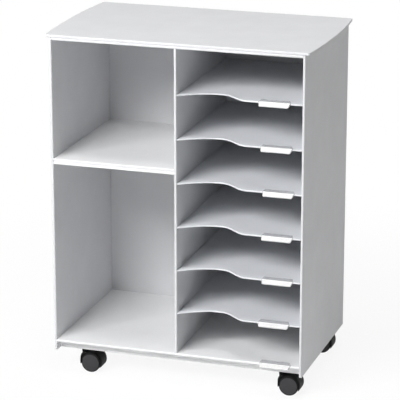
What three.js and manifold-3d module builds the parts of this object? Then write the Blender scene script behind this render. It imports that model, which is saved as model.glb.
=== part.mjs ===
// Office trolley: a white sheet-plastic carcass with two open bays on the left, seven sorting
// compartments with finger cut-outs on the right, sliding label holders and four twin-wheel castors.
// Millimetres, +X to the right, +Y to the back, +Z up. The origin lies on the floor, under the
// middle of the whole object's box.

import * as THREE from 'three';
import { mergeVertices } from 'three/addons/utils/BufferGeometryUtils.js';
import Module from 'manifold-3d';

// Carcass
const carcassWidth = 520;
const carcassDepth = 330;
const openingHeight = 622;
const baseRise = 23;
const sideThickness = 5;
const dividerThickness = 5;
const backThickness = 4;
const topPanelThickness = 5.5;
const basePanelThickness = 5;
const sheetEdgeRadius = 1.5;
const sideFootRadius = 4;
const seatGap = 0.3;
const grooveDepth = 1.5;
const grooveStop = 6;

// Top board
const topBoardThickness = 5.5;
const cornerOverhang = 8;
const middleOverhang = 16;
const topBoardCornerRadius = 6;
const topBoardEdgeRadius = 1.6;

// Base tray under the base panel
const trayWall = 3;
const trayFrontInset = 22;
const trayBossRadius = 9;

// Middle shelf of the left bay
const lowerBayHeight = 370.5;
const middleShelfThickness = 11.5;
const middleGrooveHeight = 4;
const middleGrooveDepth = 1.5;
const middleTongueThickness = 5;

// Sorting shelves of the right bay
const sortingShelfCount = 6;
const sortingShelfThickness = 3;
const lowestGap = 82.3;
const highestGap = 90.2;
const waveDepth = 35;
const wavePeakStartShare = 0.3;
const wavePeakEndShare = 0.33;
const waveEndShare = 0.56;
const waveSteps = 28;

// Label holders and their cards
const holderWidth = 64.5;
const holderFaceHeight = 11;
const holderFlapDepth = 16;
const holderHookDepth = 7;
const holderWall = 0.9;
const holderWindowWall = 0.8;
const holderEndSlant = 5;
const holderCornerRadius = 2;
const cardThickness = 0.4;
const cardSideMargin = 1.2;
const labelPlaceShares = [0.645, 0.578, 0.718, 0.69, 0.725, 0.627, 0.526];

// Castors
const wheelRadius = 20;
const castorWidth = 38;
const castorTrail = 19;
const castorSideInset = 50.5;
const castorFrontInset = 39;
const castorBackInset = 39;
const wheelClearance = 0.9;
const fenderWall = 2.2;
const fenderEdgeDrop = 0.7;
const fenderSetback = 0.8;
const fenderTrailDegrees = -25;
const fenderLeadDegrees = 190;
const fenderShoulderShare = 0.75;
const shoulderLead = 0.9;
const shoulderRadius = 14.5;
const neckRise = 0.9;
const neckRadius = 5.5;
const neckCoreRadius = 4.8;
const neckConeHeight = 7;
const neckCollarHeight = 6;
const neckFloor = 3;
const bridgeHalfWidth = 5;
const webHalfThickness = 5.7;
const axleRadius = 3;
const axleBossRadius = 6.5;
const tyreRound = 1.2;
const wheelRimWall = 3;
const wheelFaceWall = 3;
const wheelHubRadius = 6;
const wheelFaceCrown = 0.5;
const stemUpperRadius = 4;
const stemLowerRadius = 3;
const stemCollarRadius = 5.2;
const stemCollarHeight = 1.4;
const stemInHood = 12.7;
const stemInSocket = 13.2;
const stemChamfer = 0.8;
const stemGrooveDepth = 0.6;
const stemGrooveHeight = 1.4;
const socketWall = 1.9;
const socketFlangeRadius = 7.6;
const socketFlangeHeight = 2;

// Facets
const roundSteps = 24;
const pinSteps = 14;
const fenderSteps = 40;
const boardSteps = 8;
const cornerSteps = 3;
const shoulderSteps = 7;
const boardEdgeSteps = 2;
const cutOverrun = 1;

// Derived heights, from the floor up
const fenderRadius = wheelRadius + wheelClearance + fenderWall;
const neckTop = wheelRadius + fenderRadius + neckRise;
const stemCollarBottom = neckTop + seatGap;
const socketFlangeBottom = stemCollarBottom + stemCollarHeight + seatGap;
const sideBottom = socketFlangeBottom + socketFlangeHeight;
const baseFloor = sideBottom + baseRise;
const trayTop = baseFloor - basePanelThickness;
const openingTop = baseFloor + openingHeight;
const carcassTop = openingTop + topPanelThickness;
const middleShelfBottom = baseFloor + lowerBayHeight;
const middleShelfTop = middleShelfBottom + middleShelfThickness;
const lowestShelfTop = baseFloor + lowestGap + sortingShelfThickness;
const shelfPitch = (openingTop - highestGap - lowestShelfTop) / (sortingShelfCount - 1);

// Derived places across the trolley
const outerHalf = carcassWidth / 2;
const innerHalf = outerHalf - sideThickness;
const dividerHalf = dividerThickness / 2;
const bayWidth = innerHalf - dividerHalf;
const pocketGap = cardThickness + 2 * seatGap;
const holderReach = seatGap + holderWall + pocketGap + holderWindowWall;
const frontY = (holderReach - carcassDepth) / 2;
const backY = frontY + carcassDepth;
const backPanelY = backY - backThickness;

const wasm = await Module();
wasm.setup();

// Axes of a prism: an outline's two axes and the way it is drawn out
const xAxis = new THREE.Vector3(1, 0, 0);
const yAxis = new THREE.Vector3(0, 1, 0);
const zAxis = new THREE.Vector3(0, 0, 1);
const backwards = new THREE.Vector3(0, -1, 0);
const prismFrames = {
  x: new THREE.Matrix4().makeBasis(yAxis, zAxis, xAxis),
  y: new THREE.Matrix4().makeBasis(xAxis, zAxis, backwards),
  z: new THREE.Matrix4(),
};

// A mesh geometry as a solid for joining and cutting; faces that collapse on an axis are left out
function solidFrom(geometry) {
  const bare = geometry.clone();
  bare.deleteAttribute('normal');
  bare.deleteAttribute('uv');
  const merged = mergeVertices(bare);
  const corners = merged.index.array;
  const kept = [];
  for (let i = 0; i < corners.length; i += 3) {
    const [a, b, c] = [corners[i], corners[i + 1], corners[i + 2]];
    if (a !== b && b !== c && c !== a) kept.push(a, b, c);
  }
  const vertProperties = new Float32Array(merged.attributes.position.array);
  const triVerts = new Uint32Array(kept);
  return new wasm.Manifold(new wasm.Mesh({ numProp: 3, vertProperties, triVerts }));
}

// A joined or cut solid as a mesh geometry
function geometryFrom(solid) {
  const mesh = solid.getMesh();
  const geometry = new THREE.BufferGeometry();
  geometry.setAttribute('position', new THREE.BufferAttribute(mesh.vertProperties, 3));
  geometry.setIndex(new THREE.BufferAttribute(mesh.triVerts, 1));
  geometry.computeVertexNormals();
  return geometry;
}

// A closed outline through corners given as [x, y, radius]; a corner with a radius is an arc
function outline(corners) {
  const shape = new THREE.Shape();
  corners.forEach(([x, y, radius = 0], i) => {
    const before = corners[(i + corners.length - 1) % corners.length];
    const after = corners[(i + 1) % corners.length];
    const corner = new THREE.Vector2(x, y);
    const backward = new THREE.Vector2(before[0], before[1]).sub(corner).normalize();
    const forward = new THREE.Vector2(after[0], after[1]).sub(corner).normalize();
    const half = Math.acos(backward.dot(forward)) / 2;
    const run = radius / Math.tan(half);
    const start = corner.clone().addScaledVector(backward, run);
    const end = corner.clone().addScaledVector(forward, run);
    if (i === 0) shape.moveTo(start.x, start.y);
    else shape.lineTo(start.x, start.y);
    if (radius > 0) {
      const middle = backward.clone().add(forward).normalize();
      const centre = corner.clone().addScaledVector(middle, radius / Math.sin(half));
      const from = Math.atan2(start.y - centre.y, start.x - centre.x);
      const to = Math.atan2(end.y - centre.y, end.x - centre.x);
      shape.absarc(centre.x, centre.y, radius, from, to, backward.cross(forward) > 0);
    }
  });
  return shape;
}

// An outline drawn out along an axis between two places on it
function prism(axis, shape, from, to, steps = cornerSteps) {
  const depth = to - from;
  const settings = { depth, bevelEnabled: false, curveSegments: steps };
  const geometry = new THREE.ExtrudeGeometry(shape, settings);
  geometry.applyMatrix4(prismFrames[axis]);
  if (axis === 'x') geometry.translate(from, 0, 0);
  if (axis === 'y') geometry.translate(0, to, 0);
  if (axis === 'z') geometry.translate(0, 0, from);
  return geometry;
}

// A straight block between its lowest and highest corners
function block(low, high) {
  const size = high.map((value, i) => value - low[i]);
  const middle = high.map((value, i) => (value + low[i]) / 2);
  return new THREE.BoxGeometry(...size).translate(...middle);
}

// A profile of [radius, height] points turned about the upright axis
function turnedUpright(profile, steps) {
  return turnedAcross(profile, steps).rotateX(Math.PI / 2);
}

// A profile of [radius, height] points turned about the front-to-back axis
function turnedAcross(profile, steps) {
  const points = profile.map(([radius, height]) => new THREE.Vector2(radius, height));
  return new THREE.LatheGeometry(points, steps);
}

function whitePlastic() {
  return new THREE.MeshStandardMaterial({ color: 0xe9eaec, roughness: 0.45, metalness: 0 });
}

function clearPlastic() {
  const settings = { color: 0xe4e8ea, roughness: 0.2, metalness: 0 };
  return new THREE.MeshStandardMaterial({ ...settings, transparent: true, opacity: 0.5 });
}

function cardPaper() {
  return new THREE.MeshStandardMaterial({ color: 0xfbfbfa, roughness: 0.8, metalness: 0 });
}

function blackPlastic() {
  return new THREE.MeshStandardMaterial({ color: 0x161618, roughness: 0.5, metalness: 0 });
}

function wheelPlastic() {
  return new THREE.MeshStandardMaterial({ color: 0x3b3b3e, roughness: 0.55, metalness: 0 });
}

function steel() {
  return new THREE.MeshStandardMaterial({ color: 0xa9abad, roughness: 0.3, metalness: 1 });
}

// Adds one named sub-part to a group
function add(group, name, geometry, material) {
  const mesh = new THREE.Mesh(geometry, material);
  mesh.name = name;
  group.add(mesh);
}

// The cut for a tongue of a shelf: it stops short of the front edge and runs out at the back
function grooveCut(face, side, tongueBottom, tongueTop) {
  const inside = face + side * grooveDepth;
  const outside = face - side * cutOverrun;
  const low = [Math.min(inside, outside), frontY + grooveStop, tongueBottom - seatGap];
  const high = [Math.max(inside, outside), backY + cutOverrun, tongueTop + seatGap];
  return solidFrom(block(low, high));
}

function sortingShelfTops() {
  return Array.from({ length: sortingShelfCount }, (_, i) => lowestShelfTop + i * shelfPitch);
}

// Grooves for all sorting shelves in a face; side is +1 where the panel lies to the right of it
function sortingGrooves(face, side) {
  return sortingShelfTops().map((top) => grooveCut(face, side, top - sortingShelfThickness, top));
}

function middleTongueBottom() {
  return middleShelfBottom + (middleShelfThickness - middleTongueThickness) / 2;
}

function middleGroove(face, side) {
  const bottom = middleTongueBottom();
  return grooveCut(face, side, bottom, bottom + middleTongueThickness);
}

// The cut for the divider's tongue in a level sheet; side is +1 where the sheet lies above the face
function dividerGroove(face, side) {
  const inside = face + side * grooveDepth;
  const outside = face - side * cutOverrun;
  const half = dividerHalf + seatGap;
  const low = [-half, frontY + grooveStop, Math.min(inside, outside)];
  const high = [half, backY + cutOverrun, Math.max(inside, outside)];
  return solidFrom(block(low, high));
}

// The front end of the divider's tongue, cut away where its groove stops
function dividerTongueStop(face, side) {
  const end = face + side * (grooveDepth + cutOverrun);
  const half = dividerHalf + cutOverrun;
  const low = [-half, frontY - cutOverrun, Math.min(face, end)];
  const high = [half, frontY + grooveStop + seatGap, Math.max(face, end)];
  return solidFrom(block(low, high));
}

// An upright sheet with a rounded front edge, rounded lower front corner and its cuts
function uprightSheet(left, right, back, bottom, top, footRadius, cuts) {
  const plan = outline([
    [left, frontY, sheetEdgeRadius],
    [right, frontY, sheetEdgeRadius],
    [right, back],
    [left, back],
  ]);
  const side = outline([
    [frontY, bottom, footRadius],
    [back, bottom],
    [back, top],
    [frontY, top],
  ]);
  const sheet = solidFrom(prism('z', plan, bottom, top));
  const shaped = sheet.intersect(solidFrom(prism('x', side, left, right)));
  return geometryFrom(cuts.reduce((solid, cut) => solid.subtract(cut), shaped));
}

function leftSidePanel() {
  const grooves = [middleGroove(-innerHalf, -1)];
  return uprightSheet(-outerHalf, -innerHalf, backY, sideBottom, carcassTop, sideFootRadius, grooves);
}

function rightSidePanel() {
  const grooves = sortingGrooves(innerHalf, 1);
  return uprightSheet(innerHalf, outerHalf, backY, sideBottom, carcassTop, sideFootRadius, grooves);
}

// The divider, with a tongue along its foot and its top
function centreDivider() {
  const grooves = [...sortingGrooves(dividerHalf, -1), middleGroove(-dividerHalf, 1)];
  const cuts = [...grooves, dividerTongueStop(baseFloor, -1), dividerTongueStop(openingTop, 1)];
  const bottom = baseFloor - grooveDepth;
  const top = openingTop + grooveDepth;
  return uprightSheet(-dividerHalf, dividerHalf, backPanelY, bottom, top, 0, cuts);
}

// A level sheet between the side panels, with a rounded front edge and the divider's groove
function levelSheet(bottom, top, groove) {
  const side = outline([
    [frontY, bottom, sheetEdgeRadius],
    [backPanelY, bottom],
    [backPanelY, top],
    [frontY, top, sheetEdgeRadius],
  ]);
  return geometryFrom(solidFrom(prism('x', side, -innerHalf, innerHalf)).subtract(groove));
}

function topPanel() {
  return levelSheet(openingTop, carcassTop, dividerGroove(openingTop, 1));
}

function basePanel() {
  return levelSheet(trayTop, baseFloor, dividerGroove(baseFloor, -1));
}

function backPanel() {
  return block([-innerHalf, backPanelY, sideBottom], [innerHalf, backY, carcassTop]);
}

// The loose top: straight front and back, side edges bowed outwards, all edges rounded
function topBoard() {
  const halfCorner = outerHalf + cornerOverhang;
  const bow = middleOverhang - cornerOverhang;
  const halfChord = carcassDepth / 2;
  const bowRadius = (halfChord ** 2 + bow ** 2) / (2 * bow);
  const bowCentre = halfCorner + bow - bowRadius;
  const bowAngle = Math.asin((halfChord - topBoardCornerRadius) / bowRadius);
  const middleY = frontY + halfChord;
  const shape = new THREE.Shape();
  const cornerX = halfCorner - topBoardCornerRadius;
  const rightStart = bowCentre + bowRadius * Math.cos(bowAngle);
  const cornerReach = topBoardCornerRadius;
  shape.moveTo(-cornerX, frontY);
  shape.lineTo(cornerX, frontY);
  shape.quadraticCurveTo(halfCorner, frontY, rightStart, frontY + cornerReach);
  shape.absarc(bowCentre, middleY, bowRadius, -bowAngle, bowAngle, false);
  shape.quadraticCurveTo(halfCorner, backY, cornerX, backY);
  shape.lineTo(-cornerX, backY);
  shape.quadraticCurveTo(-halfCorner, backY, -rightStart, backY - cornerReach);
  shape.absarc(-bowCentre, middleY, bowRadius, Math.PI - bowAngle, Math.PI + bowAngle, false);
  shape.quadraticCurveTo(-halfCorner, frontY, -cornerX, frontY);
  const settings = {
    depth: topBoardThickness - 2 * topBoardEdgeRadius,
    bevelThickness: topBoardEdgeRadius,
    bevelSize: topBoardEdgeRadius,
    bevelOffset: -topBoardEdgeRadius,
    bevelSegments: boardEdgeSteps,
    curveSegments: boardSteps,
  };
  const geometry = new THREE.ExtrudeGeometry(shape, settings);
  return geometry.translate(0, 0, carcassTop + topBoardEdgeRadius);
}

function castorPlaces() {
  const across = outerHalf - castorSideInset;
  const front = frontY + castorFrontInset;
  const back = backY - castorBackInset;
  return [
    { name: 'front_left', x: -across, y: front },
    { name: 'front_right', x: across, y: front },
    { name: 'rear_left', x: -across, y: back },
    { name: 'rear_right', x: across, y: back },
  ];
}

// An open tray that stiffens the base: floor, four walls and a boss round each castor socket
function baseTray() {
  const front = frontY + trayFrontInset;
  const low = [-innerHalf, front, sideBottom];
  const high = [innerHalf, backPanelY, trayTop];
  const hollowLow = low.map((value) => value + trayWall);
  const hollowHigh = [high[0] - trayWall, high[1] - trayWall, trayTop + cutOverrun];
  let tray = solidFrom(block(low, high)).subtract(solidFrom(block(hollowLow, hollowHigh)));
  const bossProfile = [
    [0, sideBottom],
    [trayBossRadius, sideBottom],
    [trayBossRadius, trayTop],
    [0, trayTop],
  ];
  const holeRadius = stemUpperRadius + seatGap + socketWall + seatGap;
  const holeLow = sideBottom - cutOverrun;
  const holeHigh = trayTop + cutOverrun;
  const holeProfile = [[0, holeLow], [holeRadius, holeLow], [holeRadius, holeHigh], [0, holeHigh]];
  for (const { x, y } of castorPlaces()) {
    const boss = solidFrom(turnedUpright(bossProfile, roundSteps).translate(x, y, 0));
    const hole = solidFrom(turnedUpright(holeProfile, roundSteps).translate(x, y, 0));
    tray = tray.add(boss).subtract(hole);
  }
  return geometryFrom(tray);
}

// A thick shelf with a shallow groove along its front edge and a tongue in each side groove
function middleShelf() {
  const left = -innerHalf + seatGap;
  const right = -dividerHalf - seatGap;
  const back = backPanelY - seatGap;
  const middle = middleShelfBottom + middleShelfThickness / 2;
  const grooveFloor = frontY + middleGrooveDepth;
  const side = outline([
    [frontY, middleShelfBottom, sheetEdgeRadius],
    [back, middleShelfBottom],
    [back, middleShelfTop],
    [frontY, middleShelfTop, sheetEdgeRadius],
    [frontY, middle + middleGrooveHeight / 2],
    [grooveFloor, middle + middleGrooveHeight / 2],
    [grooveFloor, middle - middleGrooveHeight / 2],
    [frontY, middle - middleGrooveHeight / 2],
  ]);
  const reach = grooveDepth;
  const bottom = middleTongueBottom();
  const tongueLow = [left - reach, frontY + grooveStop + seatGap, bottom];
  const tongueHigh = [right + reach, back, bottom + middleTongueThickness];
  const shelf = solidFrom(prism('x', side, left, right));
  return geometryFrom(shelf.add(solidFrom(block(tongueLow, tongueHigh))));
}

// How deep the finger cut-out is at a share of the bay's width, as a share of its full depth:
// a quarter sine from the left end, a short level stretch and a cosine back to the front line
function waveShare(share) {
  if (share < wavePeakStartShare) return Math.sin((Math.PI / 2) * (share / wavePeakStartShare));
  if (share < wavePeakEndShare) return 1;
  const fall = (share - wavePeakEndShare) / (waveEndShare - wavePeakEndShare);
  return (1 + Math.cos(Math.PI * fall)) / 2;
}

// A thin shelf; its side tongues stop short of its front and back edges
function sortingShelf(top) {
  const left = dividerHalf + seatGap;
  const right = innerHalf - seatGap;
  const width = right - left;
  const back = backPanelY - seatGap;
  const tongueFront = frontY + grooveStop + seatGap;
  const tongueBack = back - grooveStop;
  const reach = grooveDepth;
  const corners = [];
  for (let i = 0; i <= waveSteps; i += 1) {
    const share = (waveEndShare * i) / waveSteps;
    corners.push([left + share * width, frontY + waveDepth * waveShare(share)]);
  }
  corners.push([right, frontY], [right, tongueFront], [right + reach, tongueFront]);
  corners.push([right + reach, tongueBack], [right, tongueBack], [right, back], [left, back]);
  corners.push([left, tongueBack], [left - reach, tongueBack]);
  corners.push([left - reach, tongueFront], [left, tongueFront]);
  return prism('z', outline(corners), top - sortingShelfThickness, top);
}

// The left end of a label holder: a share of the way along the straight stretch of its shelf
function holderLeft(share) {
  const straightStart = dividerHalf + waveEndShare * bayWidth;
  const travel = innerHalf - seatGap - holderWidth - straightStart;
  return straightStart + share * travel;
}

// Places of a label holder round the front edge of a sheet, seen from the side
function holderPlaces(sheetTop, sheetThickness) {
  const wallBack = frontY - seatGap;
  const wallFront = wallBack - holderWall;
  const windowBack = wallFront - pocketGap;
  const flapBottom = sheetTop + seatGap;
  const flapTop = flapBottom + holderWall;
  const hookTop = sheetTop - sheetThickness - seatGap;
  const faceBottom = flapTop - holderFaceHeight;
  return {
    wallBack,
    wallFront,
    windowBack,
    windowFront: windowBack - holderWindowWall,
    flapBottom,
    flapTop,
    flapEnd: frontY + holderFlapDepth,
    hookTop,
    hookBottom: hookTop - holderWall,
    hookEnd: frontY + holderHookDepth,
    faceBottom,
    pocketFloor: faceBottom + holderWall,
  };
}

// A clear clip that grips a sheet's front edge: flap above, hook below and a card pocket in front
function labelHolder(left, sheetTop, sheetThickness) {
  const at = holderPlaces(sheetTop, sheetThickness);
  const right = left + holderWidth;
  const section = outline([
    [at.windowFront, at.faceBottom],
    [at.wallBack, at.faceBottom],
    [at.wallBack, at.hookBottom],
    [at.hookEnd, at.hookBottom],
    [at.hookEnd, at.hookTop],
    [at.wallBack, at.hookTop],
    [at.wallBack, at.flapBottom],
    [at.flapEnd, at.flapBottom],
    [at.flapEnd, at.flapTop],
    [at.wallFront, at.flapTop],
    [at.wallFront, at.pocketFloor],
    [at.windowBack, at.pocketFloor],
    [at.windowBack, at.flapBottom],
    [at.windowFront, at.flapBottom],
  ]);
  const face = outline([
    [left, at.faceBottom, holderCornerRadius],
    [right - holderEndSlant, at.faceBottom, holderCornerRadius],
    [right, at.flapTop],
    [left, at.flapTop],
  ]);
  const plan = outline([
    [left, at.windowFront],
    [right, at.windowFront],
    [right, at.wallBack],
    [right - holderEndSlant, at.flapEnd, holderCornerRadius],
    [left, at.flapEnd, holderCornerRadius],
  ]);
  const clip = solidFrom(prism('x', section, left, right));
  const faceCut = solidFrom(prism('y', face, at.windowFront, at.flapEnd));
  const planCut = solidFrom(prism('z', plan, at.faceBottom, at.flapTop));
  return geometryFrom(clip.intersect(faceCut).intersect(planCut));
}

// A blank card that stands in the pocket of its holder
function labelCard(left, sheetTop, sheetThickness) {
  const at = holderPlaces(sheetTop, sheetThickness);
  const bottom = at.pocketFloor + seatGap;
  const low = left + cardSideMargin;
  const high = left + holderWidth - cardSideMargin;
  const face = outline([
    [low, bottom],
    [high - holderEndSlant, bottom],
    [high, at.flapTop],
    [low, at.flapTop],
  ]);
  const cardBack = at.wallFront - seatGap;
  return prism('y', face, cardBack - cardThickness, cardBack);
}

// Stretch of the hood's side view, as a slice of a disc about the wheel axis
function fenderSlice() {
  const from = THREE.MathUtils.degToRad(fenderTrailDegrees);
  const to = THREE.MathUtils.degToRad(fenderLeadDegrees);
  const reach = 2 * fenderRadius;
  const shape = new THREE.Shape();
  shape.moveTo(castorTrail, wheelRadius);
  shape.absarc(castorTrail, wheelRadius, reach, from, to, false);
  return shape;
}

// The hood's fuller corner below the neck: an upright leading side and a rounded shoulder,
// as wide as the fender and with the same drop towards its open sides
function hoodShoulder() {
  const half = castorWidth / 2 - fenderSetback;
  const flatHalf = half * fenderShoulderShare;
  const lead = castorTrail - fenderRadius - shoulderLead;
  const shape = outline([
    [lead, 0],
    [castorTrail, 0],
    [castorTrail, wheelRadius + fenderRadius],
    [lead, wheelRadius + fenderRadius, shoulderRadius],
  ]);
  const settings = {
    depth: 2 * flatHalf,
    bevelThickness: half - flatHalf,
    bevelSize: fenderEdgeDrop,
    bevelOffset: -fenderEdgeDrop,
    bevelSegments: 1,
    curveSegments: shoulderSteps,
  };
  const geometry = new THREE.ExtrudeGeometry(shape, settings);
  return solidFrom(geometry.applyMatrix4(prismFrames.y).translate(0, flatHalf, 0));
}

// A cylinder along the wheel axis
function axisCylinder(radius, from, to, steps) {
  const profile = [[0, from], [radius, from], [radius, to], [0, to]];
  return solidFrom(turnedAcross(profile, steps).translate(castorTrail, 0, wheelRadius));
}

// The moulded castor body: fender and shoulder over both wheels, web between them, axle boss and
// swivel neck
function castorHood() {
  const half = castorWidth / 2 - fenderSetback;
  const edgeRadius = fenderRadius - fenderEdgeDrop;
  const shoulder = half * fenderShoulderShare;
  const barrel = [
    [0, -half],
    [edgeRadius, -half],
    [fenderRadius, -shoulder],
    [fenderRadius, shoulder],
    [edgeRadius, half],
    [0, half],
  ];
  const shell = solidFrom(turnedAcross(barrel, fenderSteps).translate(castorTrail, 0, wheelRadius));
  const slice = solidFrom(prism('y', fenderSlice(), -half - cutOverrun, half + cutOverrun, roundSteps));
  const neckWaist = neckTop - neckCollarHeight;
  const neckFoot = neckWaist - neckConeHeight;
  const neckEnd = neckTop - stemInHood - neckFloor;
  const neckProfile = [
    [0, neckEnd],
    [neckCoreRadius, neckEnd],
    [neckCoreRadius, neckFoot],
    [neckRadius, neckWaist],
    [neckRadius, neckTop],
    [0, neckTop],
  ];
  const neck = solidFrom(turnedUpright(neckProfile, roundSteps));
  const bridgeShape = outline([
    [0, neckFoot],
    [castorTrail, wheelRadius + fenderRadius - fenderWall],
    [castorTrail, wheelRadius + fenderRadius],
    [0, neckTop],
  ]);
  const bridge = solidFrom(prism('y', bridgeShape, -bridgeHalfWidth, bridgeHalfWidth));
  const boss = axisCylinder(axleBossRadius, -webHalfThickness, webHalfThickness, roundSteps);
  let hood = shell.add(hoodShoulder()).intersect(slice).add(neck).add(bridge);
  const wellRadius = wheelRadius + wheelClearance;
  hood = hood.subtract(axisCylinder(wellRadius, webHalfThickness, half + cutOverrun, fenderSteps));
  hood = hood.subtract(axisCylinder(wellRadius, -half - cutOverrun, -webHalfThickness, fenderSteps));
  hood = hood.add(boss);
  hood = hood.subtract(axisCylinder(axleRadius + seatGap, -castorWidth, castorWidth, pinSteps));
  const boreRadius = stemLowerRadius + seatGap;
  const boreBottom = stemCollarBottom - stemInHood - seatGap;
  const boreTop = neckTop + cutOverrun;
  const boreProfile = [[0, boreBottom], [boreRadius, boreBottom], [boreRadius, boreTop], [0, boreTop]];
  return geometryFrom(hood.subtract(solidFrom(turnedUpright(boreProfile, pinSteps))));
}

// One wheel as a turned cup: closed crowned face outside, hub and rim open to the inside.
// Its heights run along the wheel axis, away from the middle of the castor.
function wheelProfile() {
  const face = castorWidth / 2;
  const hubEnd = webHalfThickness + seatGap;
  const rimEnd = hubEnd + seatGap;
  const cupFloor = face - wheelFaceCrown - wheelFaceWall;
  const boreFloor = cupFloor + seatGap;
  const rimFace = face - wheelFaceCrown;
  return [
    [0, boreFloor],
    [axleRadius + seatGap, boreFloor],
    [axleRadius + seatGap, hubEnd],
    [wheelHubRadius, hubEnd],
    [wheelHubRadius, cupFloor],
    [wheelRadius - wheelRimWall, cupFloor],
    [wheelRadius - wheelRimWall, rimEnd],
    [wheelRadius - tyreRound / 2, rimEnd],
    [wheelRadius, rimEnd + tyreRound / 2],
    [wheelRadius, rimFace - tyreRound],
    [wheelRadius - tyreRound / 3, rimFace - tyreRound / 3],
    [wheelRadius - tyreRound, rimFace],
    [wheelRadius / 2, face - wheelFaceCrown / 4],
    [0, face],
  ];
}

function rearWheel() {
  return turnedAcross(wheelProfile(), roundSteps);
}

function frontWheel() {
  return turnedAcross(wheelProfile(), roundSteps).rotateX(Math.PI);
}

function axle() {
  const half = castorWidth / 2 - wheelFaceCrown - wheelFaceWall;
  const inner = half - stemChamfer;
  const small = axleRadius - stemChamfer;
  const profile = [
    [0, -half],
    [small, -half],
    [axleRadius, -inner],
    [axleRadius, inner],
    [small, half],
    [0, half],
  ];
  return turnedAcross(profile, pinSteps);
}

// Swivel stem: lower pin in the hood, collar on top of it, gripped pin in the socket
function stem() {
  const bottom = stemCollarBottom - stemInHood;
  const collarTop = stemCollarBottom + stemCollarHeight;
  const top = sideBottom + stemInSocket;
  const grooveTop = top - 2 * stemGrooveHeight;
  const grooveRadius = stemUpperRadius - stemGrooveDepth;
  const profile = [
    [0, bottom],
    [stemLowerRadius - stemChamfer, bottom],
    [stemLowerRadius, bottom + stemChamfer],
    [stemLowerRadius, stemCollarBottom],
    [stemCollarRadius, stemCollarBottom],
    [stemCollarRadius, collarTop],
    [stemUpperRadius, collarTop],
    [stemUpperRadius, grooveTop - stemGrooveHeight],
    [grooveRadius, grooveTop - stemGrooveHeight],
    [grooveRadius, grooveTop],
    [stemUpperRadius, grooveTop],
    [stemUpperRadius, top - stemChamfer],
    [stemUpperRadius - stemChamfer, top],
    [0, top],
  ];
  return turnedUpright(profile, pinSteps);
}

// Plastic socket: a closed sleeve in the tray's boss with a flange under the tray
function socket() {
  const boreRadius = stemUpperRadius + seatGap;
  const outerRadius = boreRadius + socketWall;
  const boreTop = sideBottom + stemInSocket + seatGap;
  const top = boreTop + socketWall;
  const profile = [
    [0, boreTop],
    [boreRadius, boreTop],
    [boreRadius, socketFlangeBottom],
    [socketFlangeRadius, socketFlangeBottom],
    [socketFlangeRadius, sideBottom],
    [outerRadius, sideBottom],
    [outerRadius, top],
    [0, top],
  ];
  return turnedUpright(profile, pinSteps);
}

// One castor in its own group, its swivel axis upright through the group's origin
function castor(name) {
  const group = new THREE.Group();
  add(group, `${name}_socket`, socket(), blackPlastic());
  add(group, `${name}_stem`, stem(), steel());
  add(group, `${name}_hood`, castorHood(), blackPlastic());
  const wheels = new THREE.Group();
  wheels.position.set(castorTrail, 0, wheelRadius);
  add(wheels, `${name}_axle`, axle(), steel());
  add(wheels, `${name}_wheel_front`, frontWheel(), wheelPlastic());
  add(wheels, `${name}_wheel_rear`, rearWheel(), wheelPlastic());
  group.add(wheels);
  return group;
}

function carcass() {
  const group = new THREE.Group();
  add(group, 'left_side_panel', leftSidePanel(), whitePlastic());
  add(group, 'right_side_panel', rightSidePanel(), whitePlastic());
  add(group, 'centre_divider', centreDivider(), whitePlastic());
  add(group, 'back_panel', backPanel(), whitePlastic());
  add(group, 'top_panel', topPanel(), whitePlastic());
  add(group, 'top_board', topBoard(), whitePlastic());
  add(group, 'base_panel', basePanel(), whitePlastic());
  add(group, 'base_tray', baseTray(), whitePlastic());
  add(group, 'middle_shelf', middleShelf(), whitePlastic());
  return group;
}

// Sorting shelves from the lowest up, and a label holder with its card on the base and each shelf
function sortingBay() {
  const group = new THREE.Group();
  const shelfTops = sortingShelfTops();
  shelfTops.forEach((top, i) => {
    add(group, `sorting_shelf_${i + 1}`, sortingShelf(top), whitePlastic());
  });
  const sheets = [
    { top: baseFloor, thickness: basePanelThickness },
    ...shelfTops.map((top) => ({ top, thickness: sortingShelfThickness })),
  ];
  sheets.forEach(({ top, thickness }, i) => {
    const left = holderLeft(labelPlaceShares[i]);
    add(group, `label_holder_${i + 1}`, labelHolder(left, top, thickness), clearPlastic());
    add(group, `label_card_${i + 1}`, labelCard(left, top, thickness), cardPaper());
  });
  return group;
}

const trolley = new THREE.Group();
trolley.add(carcass());
trolley.add(sortingBay());
for (const { name, x, y } of castorPlaces()) {
  const group = castor(name);
  group.position.set(x, y, 0);
  trolley.add(group);
}

export default trolley;
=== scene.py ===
"""Looks of an office trolley, built round its fixed frame.

The trolley is a white sheet-plastic carcass with two open bays on the left, seven sorting
compartments with finger cut-outs on the right, clear label holders that slide along the shelf
edges, and four swivel castors with twin wheels. Metres, +X to the right, +Y to the back, +Z up.
"""

from __future__ import annotations

import logging
import math
from dataclasses import dataclass, replace
from enum import Enum

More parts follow.
